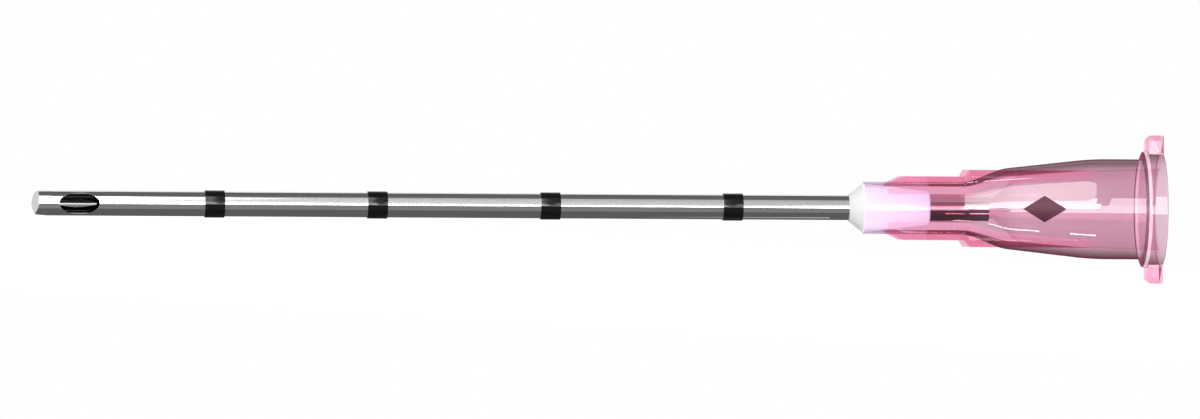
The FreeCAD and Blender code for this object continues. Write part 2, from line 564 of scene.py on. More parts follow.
    def lay_down(self, name: str, mesh: bpy.types.Mesh, *nodes: str, slot: str) -> bpy.types.Object:
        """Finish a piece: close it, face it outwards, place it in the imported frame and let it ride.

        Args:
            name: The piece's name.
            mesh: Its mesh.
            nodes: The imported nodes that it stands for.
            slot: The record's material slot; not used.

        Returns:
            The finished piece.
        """
        work = bmesh.new()
        work.from_mesh(mesh)
        bmesh.ops.delete(work, geom=[vert for vert in work.verts if not vert.link_faces], context="VERTS")
        bmesh.ops.remove_doubles(work, verts=work.verts, dist=self.MERGE)
        bmesh.ops.recalc_face_normals(work, faces=work.faces)
        open_edges = sum(not edge.is_manifold for edge in work.edges)
        work.to_mesh(mesh)
        work.free()
        mesh.transform(self.frame.matrix())
        mesh.shade_smooth()
        mesh.set_sharp_from_angle(angle=SMOOTH_BELOW)
        mesh.name = name
        piece = self.link(name, mesh)
        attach(piece, BODY)
        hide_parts(*nodes)
        LOG.info("%s: %d faces, %d open edges", name, len(mesh.polygons), open_edges)
        return piece


def mesh_of(name: str, work: bmesh.types.BMesh) -> bpy.types.Mesh:
    """Make a mesh of finished work.

    Args:
        name: The mesh's name.
        work: The work, freed afterwards.

    Returns:
        The mesh.
    """
    mesh = bpy.data.meshes.new(name)
    work.to_mesh(mesh)
    work.free()
    return mesh


def bridge(work: bmesh.types.BMesh, first: Loop, second: Loop,
           left_out: frozenset[int] = frozenset()) -> None:
    """Join two closed loops by a band of faces.

    Args:
        work: The mesh.
        first: The vertices of one loop.
        second: The vertices of the other loop, as many.
        left_out: The numbers of the faces to leave out.
    """
    for number in range(len(first)):
        after = (number + 1) % len(first)
        if number not in left_out:
            work.faces.new((first[number], first[after], second[after], second[number]))


def extruded(outline: list[Vector], shift: Vector) -> bmesh.types.BMesh:
    """Make a block by moving a flat outline.

    Args:
        outline: The outline's points, in order.
        shift: How far it moves.

    Returns:
        The block.
    """
    work = bmesh.new()
    face = work.faces.new([work.verts.new(point) for point in outline])
    grown = bmesh.ops.extrude_face_region(work, geom=[face])
    moved = [item for item in grown["geom"] if isinstance(item, bmesh.types.BMVert)]
    bmesh.ops.translate(work, verts=moved, vec=shift)
    return work


def bevelled(name: str, work: bmesh.types.BMesh, root: float, width: float) -> bpy.types.Object:
    """Bevel the sharp edges of a block that stands on the hub, and make it an object.

    Args:
        name: The object's name.
        work: The block, freed afterwards.
        root: Height of its hidden foot, whose edges stay sharp.
        width: Width of the bevel.

    Returns:
        The object.
    """
    bmesh.ops.recalc_face_normals(work, faces=work.faces)
    edges = [
        edge for edge in work.edges
        if edge.calc_face_angle(0) > SMOOTH_BELOW and max(vert.co.z for vert in edge.verts) > root + width
    ]
    bmesh.ops.bevel(
        work, geom=edges, offset=width, segments=2, profile=0.5, affect="EDGES", clamp_overlap=True)
    bmesh.ops.triangulate(work, faces=[face for face in work.faces if len(face.verts) > 4])
    return Modelling.link(name, mesh_of(name, work))


def height_at(line: list[Vector], x: float) -> float:
    """Return the greatest height of a section's line at a place along the axis.

    Args:
        line: The section's points.
        x: The place along the axis.

    Returns:
        The height, or 0 where the line doesn't reach.
    """
    found = 0.0
    for start, end in zip(line, line[1:]):
        low, high = sorted((start.x, end.x))
        if low <= x <= high:
            share = 0.5 if high == low else (x - start.x) / (end.x - start.x)
            found = max(found, start.z + (end.z - start.z) * share)
    return found


@dataclass
class Hub:
    """The moulded luer hub: flange with two lugs, barrel, cone, neck and four ribs."""

    # The barrel, the cone and its fall to the neck.
    barrel_radius: float = 2.63
    barrel_length: float = 3.74
    barrel_rounding: float = 15.0
    cone_radius: float = 2.10
    cone_length: float = 4.70
    shoulder_length: float = 1.80
    shoulder_rounding: float = 2.00
    neck_radius: float = 1.37
    neck_length: float = 5.56
    nose_rounding: float = 0.04
    segments: int = 320
    # The flange and its lugs.
    flange_radius: float = 3.08
    flange_thickness: float = 1.00
    flange_rounding: float = 0.12
    flange_slope: float = 0.13
    lug_count: int = 2
    lug_radius: float = 3.90
    lug_width: float = 2.03
    lug_thickness: float = 0.80
    lug_chamfer: float = 0.24
    lug_rounding: float = 0.35
    lug_corner_steps: int = 6
    lug_root: float = 2.50
    lug_bevel: float = 0.06
    # The ribs: a ramp from the nose, a low stretch, a step and a tall stretch.
    rib_count: int = 4
    rib_first_angle: float = 45.0
    rib_thickness: float = 0.56
    rib_root: float = 0.80
    rib_nose_height: float = 1.60
    rib_low_height: float = 2.11
    rib_tall_height: float = 2.61
    rib_from_nose: float = 1.20
    rib_ramp_length: float = 0.80
    rib_low_length: float = 3.20
    rib_step_length: float = 0.24
    rib_end: float = 3.55
    rib_bevel: float = 0.04
    rib_margin: float = 0.012
    # The socket, the funnel, the throat, the tube's seat and the adhesive's well.
    socket_radius: float = 2.15
    socket_taper: float = 0.06
    socket_depth: float = 7.50
    socket_chamfer: float = 0.10
    funnel_length: float = 1.40
    funnel_rounding: float = 0.15
    throat_length: float = 0.28
    seat_clearance: float = 0.02
    well_depth: float = 3.48
    well_floor_radius: float = 0.88
    well_floor_rounding: float = 0.12
    well_rim_wall: float = 0.10
    overcut: float = 0.5

    @property
    def cone_end(self) -> float:
        """Station where the cone ends."""
        return self.barrel_length + self.cone_length

    @property
    def nose(self) -> float:
        """Station of the hub's end, where the tube comes out."""
        return self.cone_end + self.shoulder_length + self.neck_length

    @property
    def throat(self) -> float:
        """Station where the throat starts."""
        return self.socket_depth + self.funnel_length

    @property
    def seat(self) -> float:
        """Station where the tube's end is seated."""
        return self.throat + self.throat_length

    @property
    def well_floor(self) -> float:
        """Station of the bottom of the adhesive's well."""
        return self.nose - self.well_depth

    @property
    def well_mouth_radius(self) -> float:
        """Radius of the adhesive's well at the nose."""
        return self.neck_radius - self.well_rim_wall

    def cone_height(self, station: float) -> float:
        """Return the radius of the cone's surface at a station."""
        slope = (self.cone_radius - self.barrel_radius) / self.cone_length
        return self.barrel_radius + slope * (station - self.barrel_length)

    def outside(self) -> Section:
        """Draw the turned outside.

        Returns:
            Its section, from the mouth to the nose.
        """
        return Section([
            Corner(0, 0),
            Corner(0, self.flange_radius, self.flange_rounding),
            Corner(self.flange_thickness, self.flange_radius, self.flange_rounding),
            Corner(self.flange_thickness + self.flange_slope, self.barrel_radius),
            Corner(self.barrel_length, self.barrel_radius, self.barrel_rounding),
            Corner(self.cone_end, self.cone_radius, self.shoulder_rounding),
            Corner(self.cone_end + self.shoulder_length, self.neck_radius, self.shoulder_rounding),
            Corner(self.nose, self.neck_radius, self.nose_rounding),
            Corner(self.nose, 0),
        ])

    def hollow(self, tube: CannulaTube) -> Section:
        """Draw the socket, funnel, throat, seat and well.

        Args:
            tube: The tube that is seated in the hub.

        Returns:
            The section, from the mouth to the nose.
        """
        chamfer = self.socket_chamfer
        loss = self.socket_taper / 2
        seat_radius = tube.radius + self.seat_clearance
        return Section([
            Corner(-self.overcut, 0),
            Corner(-self.overcut, self.socket_radius + chamfer),
            Corner(0, self.socket_radius + chamfer),
            Corner(chamfer, self.socket_radius - loss * chamfer),
            Corner(self.socket_depth, self.socket_radius - loss * self.socket_depth, self.funnel_rounding),
            Corner(self.throat, tube.bore_radius, self.funnel_rounding),
            Corner(self.seat, tube.bore_radius),
            Corner(self.seat, seat_radius),
            Corner(self.well_floor, seat_radius),
            Corner(self.well_floor, self.well_floor_radius, self.well_floor_rounding),
            Corner(self.nose, self.well_mouth_radius),
            Corner(self.nose + self.overcut, self.well_mouth_radius),
            Corner(self.nose + self.overcut, 0),
        ])

    def rib(self) -> bpy.types.Object:
        """Make one rib, standing at +z, with its outer edges bevelled.

        Returns:
            The rib.
        """
        front = self.nose - self.rib_from_nose
        ramp_end = front - self.rib_ramp_length
        step = ramp_end - self.rib_low_length
        profile = [
            Corner(front, self.rib_root),
            Corner(front, self.rib_nose_height),
            Corner(ramp_end, self.rib_low_height),
            Corner(step, self.rib_low_height),
            Corner(step - self.rib_step_length, self.rib_tall_height),
            Corner(self.rib_end, self.rib_tall_height),
            Corner(self.rib_end, self.rib_root),
        ]
        half = Vector((0, self.rib_thickness / 2, 0))
        work = extruded([corner.point() - half for corner in profile], half * 2)
        return bevelled("rib", work, self.rib_root, self.rib_bevel)

    def lug(self) -> bpy.types.Object:
        """Make one lug, standing at +z, with a chamfer at its back and rounded corners.

        Returns:
            The lug.
        """
        half = self.lug_width / 2
        rounding = self.lug_rounding
        profile = [Vector((0, -half, self.lug_root))]
        for side, first in ((-1, math.pi), (1, math.pi / 2)):
            centre = Vector((0, side * (half - rounding), self.lug_radius - rounding))
            for number in range(self.lug_corner_steps + 1):
                angle = first - math.pi / 2 * number / self.lug_corner_steps
                profile.append(centre + Vector((0, math.cos(angle), math.sin(angle))) * rounding)
        profile.append(Vector((0, half, self.lug_root)))
        work = extruded(profile, Vector((-self.lug_thickness, 0, 0)))
        bmesh.ops.bisect_plane(
            work, geom=work.verts[:] + work.edges[:] + work.faces[:], clear_outer=True,
            plane_co=Vector((self.lug_chamfer - self.lug_thickness, 0, self.lug_radius)),
            plane_no=Vector((-1, 0, 1)))
        bmesh.ops.holes_fill(work, edges=[edge for edge in work.edges if edge.is_boundary])
        return bevelled("lug", work, self.lug_root, self.lug_bevel)

    @staticmethod
    def tree(modelling: Modelling) -> bpy.types.NodeTree:
        """Build the tree that joins turned body, ribs and lugs, and cuts the hollow.

        Args:
            modelling: The shared trees.

        Returns:
            The tree.
        """
        wire = modelling.new_tree("hub", {
            "Section": Kind.GEOMETRY, "Hollow": Kind.OBJECT, "Rib": Kind.OBJECT, "Lug": Kind.OBJECT,
            "Segments": Kind.COUNT, "Rib Count": Kind.COUNT, "First Rib Angle": Kind.NUMBER,
            "Lug Count": Kind.COUNT, "Material": Kind.MATERIAL,
        })
        given = wire.given
        body = modelling.turned(wire, given["Section"], given["Segments"])
        hollow = modelling.turned(wire, wire.shape_of(given["Hollow"]), given["Segments"])
        ribs = modelling.spread(wire, given["Rib"], given["Rib Count"], given["First Rib Angle"])
        lugs = modelling.spread(wire, given["Lug"], given["Lug Count"], 0.0)
        union = wire.add("GeometryNodeMeshBoolean", operation="UNION", solver="MANIFOLD")
        for part in (lugs, ribs, body):
            wire.join(part, union.inputs["Mesh 2"])
        cut = wire.add("GeometryNodeMeshBoolean", operation="DIFFERENCE", solver="MANIFOLD")
        wire.join(union.outputs["Mesh"], cut.inputs["Mesh 1"])
        wire.join(hollow, cut.inputs["Mesh 2"])
        return modelling.finish_tree(wire, cut.outputs["Mesh"])

    def build(self, modelling: Modelling, tube: CannulaTube,
              material: bpy.types.Material) -> bpy.types.Object:
        """Make the hub and lay it down.

        Args:
            modelling: The shared trees.
            tube: The tube that is seated in the hub.
            material: The hub's material.

        Returns:
            The finished piece.
        """
        hollow = modelling.line_object("hub_hollow_line", self.hollow(tube).points())
        rib = self.rib()
        lug = self.lug()
        line = modelling.line_object("hub_line", self.outside().points())
        mesh = modelling.grow(line, self.tree(modelling), {
            "Hollow": hollow, "Rib": rib, "Lug": lug, "Segments": self.segments,
            "Rib Count": self.rib_count, "First Rib Angle": math.radians(self.rib_first_angle),
            "Lug Count": self.lug_count, "Material": material,
        })
        self.sort_faces(mesh, tube)
        return modelling.lay_down("clear_hub", mesh, "hub", slot="hub")

    def sort_faces(self, mesh: bpy.types.Mesh, tube: CannulaTube) -> None:
        """Store on each face whether it belongs to a rib or lug, and whether it lies in the hollow.

        Args:
            mesh: The hub's mesh.
            tube: The tube that is seated in the hub.
        """
        outer = self.outside().points()
        inner = self.hollow(tube).points()
        ribs = []
        hollows = []
        for face in mesh.polygons:
            centre = face.center
            reach = math.hypot(centre.y, centre.z)
            skin = height_at(outer, centre.x)
            ribs.append(float(reach > skin + self.rib_margin))
            hollows.append(float(reach < (skin + height_at(inner, centre.x)) / 2))
        for name, values in (("rib", ribs), ("hollow", hollows)):
            mesh.attributes.new(name, "FLOAT", "FACE").data.foreach_set("value", values)


@dataclass
class CannulaTube:
    """The steel tube: closed and domed at its tip, with an elliptical port in its side."""

    radius: float = 0.65
    wall: float = 0.12
    length: float = 50.38
    segments: int = 180
    ring_spacing: float = 1.0
    # The tip: a round edge and a shallow crown outside, a flat end inside.
    crown_radius: float = 0.90
    edge_radius: float = 0.28
    dome_steps: int = 14
    tip_wall: float = 0.45
    bore_rounding: float = 0.25
    # The port, and the patch of the two skins whose rings of faces close in on it.
    port_length: float = 2.12
    port_width: float = 1.13
    port_depth: float = 0.45
    port_from_tip: float = 2.49
    port_lip: float = 0.015
    lip_steps: int = 4
    patch_half_turn: int = 41
    patch_margin: float = 0.40
    patch_steps: int = 60
    patch_rings: int = 8
    patch_grading: float = 1.6

    @property
    def bore_radius(self) -> float:
        """Radius of the bore."""
        return self.radius - self.wall

    def tip(self, hub: Hub) -> float:
        """Return the station of the tip."""
        return hub.seat + self.length

    def dome_start(self, hub: Hub) -> float:
        """Return the station where the straight tube ends and the round edge starts."""
        reach = (self.crown_radius - self.edge_radius) ** 2 - (self.radius - self.edge_radius) ** 2
        return self.tip(hub) - self.crown_radius + math.sqrt(reach)

    def dome(self, hub: Hub) -> list[Vector]:
        """Draw the section of the tip: a round edge, then a shallow crown.

        Args:
            hub: The hub that holds the tube.

        Returns:
            The section's points, from the straight tube to the axis.
        """
        edge_centre = Corner(self.dome_start(hub), self.radius - self.edge_radius).point()
        crown_centre = Corner(self.tip(hub) - self.crown_radius, 0).point()
        meeting = (edge_centre - crown_centre).normalized()
        up = Vector((0, 0, 1))
        ahead = Vector((-1, 0, 0))
        shares = [number / self.dome_steps for number in range(self.dome_steps + 1)]
        edge = [edge_centre + Section.between(up, meeting, share) * self.edge_radius for share in shares]
        crown = [
            crown_centre + Section.between(meeting, ahead, share) * self.crown_radius
            for share in shares[1:]
        ]
        return edge + crown

    def build(self, modelling: Modelling, hub: Hub, material: bpy.types.Material,
              painted_dark_bore_material: bpy.types.Material) -> bpy.types.Object:
        """Make the tube and lay it down.

        Args:
            modelling: The shared trees.
            hub: The hub that holds the tube.
            material: The tube's material.
            painted_dark_bore_material: The material inside the tube, painted dark as shade.

        Returns:
            The finished piece.
        """
        mesh = self.mesh(hub)
        mesh.materials.append(material)
        mesh.materials.append(painted_dark_bore_material)
        return modelling.lay_down("steel_tube", mesh, "cannula_tube", slot="steel")

    def mesh(self, hub: Hub) -> bpy.types.Mesh:
        """Make the tube's mesh, with the bore's faces in the second material slot.

        Args:
            hub: The hub that holds the tube.

        Returns:
            The mesh.
        """
        middle = self.tip(hub) - self.port_from_tip
        reach = self.port_length / 2 + self.patch_margin
        first = middle - reach
        end = self.tip(hub) - self.tip_wall
        outside, zone_at = self.up_to_patch(hub, first, reach, self.radius)
        outside += self.straight(first + 2 * reach, self.dome_start(hub), self.radius)
        outside += self.dome(hub)
        bore, bore_zone_at = self.up_to_patch(hub, first, reach, self.bore_radius)
        bore += Section([
            Corner(first, self.bore_radius),
            Corner(end, self.bore_radius, self.bore_rounding),
            Corner(end, 0),
        ]).points()[1:]
        work = bmesh.new()
        outer_rows = self.skin(work, outside, zone_at)
        bore_rows = self.skin(work, bore, bore_zone_at)
        bridge(work, outer_rows[0], bore_rows[0])
        self.port(work, self.border(outer_rows, zone_at), self.border(bore_rows, bore_zone_at), middle, reach)
        for face in work.faces:
            centre = face.calc_center_median()
            inside = math.hypot(centre.y, centre.z) < self.radius - self.port_lip
            face.material_index = int(inside and -centre.x < end)
        return mesh_of("steel_tube", work)

    def up_to_patch(self, hub: Hub, first: float, reach: float, height: float) -> tuple[list[Vector], int]:
        """Return the straight line from the seated end to the end of the port's patch.

        Args:
            hub: The hub that holds the tube.
            first: Station where the patch starts.
            reach: Half length of the patch.
            height: Height of the line above the axis.

        Returns:
            The points, and the number of the patch's first one.
        """
        line = [Corner(hub.seat, height).point(), *self.straight(hub.seat, first, height)]
        patch = [
            Corner(first + 2 * reach * number / self.patch_steps, height).point()
            for number in range(self.patch_steps + 1)
        ]
        return line + patch, len(line)

    def straight(self, start: float, end: float, height: float) -> list[Vector]:
        """Return evenly spaced points between two stations, without the two ends.

        Args:
            start: The first station.
            end: The last station.
            height: Height of the points above the axis.

        Returns:
            The points.
        """
        count = max(1, math.ceil((end - start) / self.ring_spacing))
        return [Corner(start + (end - start) * number / count, height).point() for number in range(1, count)]

    def skin(self, work: bmesh.types.BMesh, line: list[Vector], zone_at: int) -> list[Loop]:
        """Turn a line about the axis, and leave out the patch that the port stands in.

        Args:
            work: The mesh.
            line: The points of the line.
            zone_at: Where in the line the port's zone starts.

        Returns:
            The vertices, a row for each point of the line. Columns start at -y and go to +z.
        """
        angles = [math.tau * column / self.segments for column in range(self.segments)]
        rows = [
            [work.verts.new(self.on_skin(-point.x, angle, point.z)) for angle in angles] for point in line
        ]
        half = self.patch_half_turn
        patch = frozenset(column % self.segments for column in range(-half, half))
        for number, (row, following) in enumerate(zip(rows, rows[1:])):
            in_zone = zone_at <= number < zone_at + self.patch_steps
            bridge(work, row, following, patch if in_zone else frozenset())
        return rows

    def border(self, rows: list[Loop], zone_at: int) -> Loop:
        """Collect the vertices round the port's patch.

        Args:
            rows: The skin's vertices, row by row.
            zone_at: The patch's first row.

        Returns:
            The vertices, in order.
        """
        half = self.patch_half_turn
        last = zone_at + self.patch_steps
        found = [rows[zone_at][column] for column in range(-half, half)]
        found += [rows[number][half] for number in range(zone_at, last)]
        found += [rows[last][column] for column in range(half, -half, -1)]
        found += [rows[number][-half] for number in range(last, zone_at, -1)]
        return found

    def port(self, work: bmesh.types.BMesh, outer: Loop, bore: Loop, middle: float, reach: float) -> None:
        """Fill the two patches up to the port's edge, round its lip and join them through the wall.

        Args:
            work: The mesh.
            outer: Vertices round the outer patch.
            bore: Vertices round the bore's patch, in the same order.
            middle: Station of the port's middle.
            reach: Half length of the patches.
        """
        half_turn = math.tau * self.patch_half_turn / self.segments
        ledge = self.port_depth - self.radius
        columns = []
        for vert in outer:
            along = -vert.co.x - middle
            turn = math.atan2(vert.co.z, -vert.co.y)
            place = (along, turn, math.atan2(turn / half_turn, along / reach))
            columns.append(self.column(place, middle, ledge))
        loops = [outer, *([work.verts.new(point) for point in level] for level in zip(*columns)), bore]
        for first, second in zip(loops, loops[1:]):
            bridge(work, first, second)

    def column(self, place: tuple[float, float, float], middle: float, ledge: float) -> list[Vector]:
        """Return the points from one border vertex over the lip and down to the bore's patch.

        Args:
            place: The border vertex: its distance from the port's middle along the tube, its turn
                about the axis and its angle on the port's ellipse.
            middle: Station of the port's middle.
            ledge: The y of the port's deepest cut.

        Returns:
            The points between the two borders.
        """
        along, turn, angle = place
        x = self.port_length / 2 * math.cos(angle)
        z = self.port_width / 2 * math.sin(angle)
        edge_turn = math.asin(z / self.radius)
        lip_along = x + self.port_lip * math.cos(angle)
        lip_turn = edge_turn + self.port_lip / self.radius * math.sin(angle)
        corner = self.on_skin(middle + x, edge_turn, self.radius)
        bore_edge = math.sqrt(self.bore_radius ** 2 - ledge ** 2)
        bore_turn = math.asin(max(-bore_edge, min(bore_edge, z)) / self.bore_radius)
        foot_y = min(ledge, -math.sqrt(max(self.bore_radius ** 2 - z * z, ledge * ledge)))
        drop = min(self.port_lip, (foot_y - corner.y) / 2)
        lip_start = self.on_skin(middle + lip_along, lip_turn, self.radius)
        lip_end = corner + Vector((0, drop, 0))
        rings = [number / self.patch_rings for number in range(1, self.patch_rings)]
        points = []
        for share in (1 - (1 - ring) ** self.patch_grading for ring in rings):
            station = middle + along + (lip_along - along) * share
            points.append(self.on_skin(station, turn + (lip_turn - turn) * share, self.radius))
        for share in (number / self.lip_steps for number in range(self.lip_steps + 1)):
            points.append(
                lip_start * (1 - share) ** 2 + corner * 2 * share * (1 - share) + lip_end * share ** 2)
        points.append(Vector((corner.x, foot_y, z)))
        for share in (0.0, *rings):
            station = middle + x + (along - x) * share
            points.append(self.on_skin(station, bore_turn + (turn - bore_turn) * share, self.bore_radius))
        return points

    @staticmethod
    def on_skin(station: float, turn: float, radius: float) -> Vector:
        """Return the point of a cylinder at a station and a turn from -y towards +z."""
        return Vector((-station, -radius * math.cos(turn), radius * math.sin(turn)))


@dataclass
class AdhesiveBead:
    """The white adhesive that fills the hub's well and ends in a cone in front of the nose."""

    bead_length: float = 0.77
    side_gap: float = 0.03
    tip_wall: float = 0.05
    sink: float = 0.004
    corner_rounding: float = 0.05
    segments: int = 224

    def section(self, hub: Hub, tube: CannulaTube) -> Section:
        """Return the section of the ring round the tube.

        Args:
            hub: The hub whose well it fills.
            tube: The tube that it holds.

        Returns:
            The section, closed on itself.
        """
        inner = tube.radius - self.sink
        bead = hub.neck_radius - hub.nose_rounding - self.side_gap
        rounding = self.corner_rounding / 2
        return Section([
            Corner(hub.well_floor, inner),
            Corner(hub.well_floor, hub.well_floor_radius + self.sink, hub.well_floor_rounding),
            Corner(hub.nose, hub.well_mouth_radius + self.sink),
            Corner(hub.nose, bead, rounding),
            Corner(hub.nose + self.bead_length, tube.radius + self.tip_wall, rounding),
            Corner(hub.nose + self.bead_length, inner),
        ], ring=True)

    def build(self, modelling: Modelling, hub: Hub, tube: CannulaTube,
              material: bpy.types.Material) -> bpy.types.Object:
        """Make the adhesive and lay it down.

        Args:
            modelling: The shared trees.
            hub: The hub whose well it fills.
            tube: The tube that it holds.
            material: Its material.

        Returns:
            The finished piece.
        """
        wire = modelling.new_tree(
            "adhesive", {"Section": Kind.GEOMETRY, "Segments": Kind.COUNT, "Material": Kind.MATERIAL})
        bead = modelling.turned(wire, wire.given["Section"], wire.given["Segments"])
        line = modelling.line_object("adhesive_line", self.section(hub, tube).points())
        mesh = modelling.grow(
            line, modelling.finish_tree(wire, bead), {"Segments": self.segments, "Material": material})
        return modelling.lay_down("adhesive_bead", mesh, "adhesive", slot="adhesive")


@dataclass
class DepthBands:
    """The black sleeves on the tube that show how deep it is."""

    width: float = 1.05
    thickness: float = 0.065
    from_tip: tuple[float, ...] = (9.60, 18.15, 27.25, 36.87)
    sink: float = 0.01
    segments: int = 160

    @staticmethod
    def tree(modelling: Modelling) -> bpy.types.NodeTree:
        """Build the tree that turns one sleeve and puts it at each point.

        Args:
            modelling: The shared trees.

        Returns:
            The tree.
        """
        wire = modelling.new_tree("depth_bands", {
            "Places": Kind.GEOMETRY, "Sleeve": Kind.OBJECT, "Segments": Kind.COUNT,
            "Material": Kind.MATERIAL,
        })
        sleeve = modelling.turned(wire, wire.shape_of(wire.given["Sleeve"]), wire.given["Segments"])
        place = wire.add("GeometryNodeInstanceOnPoints")
        wire.join(wire.given["Places"], place.inputs["Points"])
        wire.join(sleeve, place.inputs["Instance"])
        return modelling.finish_tree(wire, place.outputs[0])

    def build(self, modelling: Modelling, hub: Hub, tube: CannulaTube,
              material: bpy.types.Material) -> bpy.types.Object:
        """Make the bands as one piece and lay it down.

        Args:
            modelling: The shared trees.
            hub: The hub that holds the tube.
            tube: The tube that carries the bands.
            material: Their material.

        Returns:
            The finished piece.
        """
        inner = tube.radius - self.sink
        outer = tube.radius + self.thickness
        half = self.width / 2
        sleeve = Section([
            Corner(-half, inner),
            Corner(-half, outer, self.thickness / 2),
            Corner(half, outer, self.thickness / 2),
            Corner(half, inner),
        ], ring=True)
        helper = modelling.line_object("sleeve_line", sleeve.points())
        places = [Vector((distance - tube.tip(hub), 0, 0)) for distance in self.from_tip]
        mesh = modelling.grow(modelling.line_object("band_places", places), self.tree(modelling), {
            "Sleeve": helper, "Segments": self.segments, "Material": material,
        })
        nodes = [f"depth_band_{number}" for number in range(1, len(self.from_tip) + 1)]
        return modelling.lay_down("depth_bands", mesh, *nodes, slot="band")


@dataclass
class OrientationMark:
    """The printed rhombus on the cone, on the port's side."""

    from_mouth: float = 6.46
    length: float = 2.28
    height: float = 1.40
    thickness: float = 0.03
    sink: float = 0.004
    steps: int = 24

    def build(self, modelling: Modelling, hub: Hub, material: bpy.types.Material) -> bpy.types.Object:
        """Make the rhombus as a thin skin on the cone and lay it down.

        Args:
            modelling: The shared trees.
            hub: The hub that carries it.
            material: The ink.

        Returns:
            The finished piece.
        """
        work = bmesh.new()
        levels = [self.grid(work, hub, proud) for proud in (self.thickness, -self.sink)]
        for rows in levels:
            for row, following in zip(rows, rows[1:]):
                for column in range(self.steps):
                    work.faces.new((row[column], following[column], following[column + 1], row[column + 1]))
        bridge(work, *(self.rim(rows) for rows in levels))
        mesh = mesh_of("mark", work)
        mesh.materials.append(material)
        return modelling.lay_down("printed_rhombus", mesh, "orientation_mark", slot="mark_ink")

    def grid(self, work: bmesh.types.BMesh, hub: Hub, proud: float) -> list[Loop]:
        """Add the rhombus's points on the cone.

        Args:
            work: The mesh.
            hub: The hub that carries the mark.
            proud: How far the points stand out of the cone.

        Returns:
            The vertices, row by row.
        """
        shares = [number / self.steps for number in range(self.steps + 1)]
        rows = []
        for first in shares:
            row = []
            for second in shares:
                station = self.from_mouth + (first + second - 1) * self.length / 2
                z = (first - second) * self.height / 2
                radius = hub.cone_height(station) + proud
                row.append(work.verts.new((-station, -math.sqrt(radius ** 2 - z ** 2), z)))
            rows.append(row)
        return rows

    def rim(self, rows: list[Loop]) -> Loop:
        """Collect the vertices round the edge of a grid.

        Args:
            rows: The grid's vertices, row by row.

        Returns:
            The vertices, in order.
        """
        last = self.steps
        return (
            [rows[0][column] for column in range(last)]
            + [rows[number][last] for number in range(last)]
            + [rows[last][column] for column in range(last, 0, -1)]
            + [rows[number][0] for number in range(last, 0, -1)]
        )


class Pattern(Enum):
    """The surface patterns that a finish can have."""

    GRAIN = "moulded grain"
    DRAWN = "drawn lines"


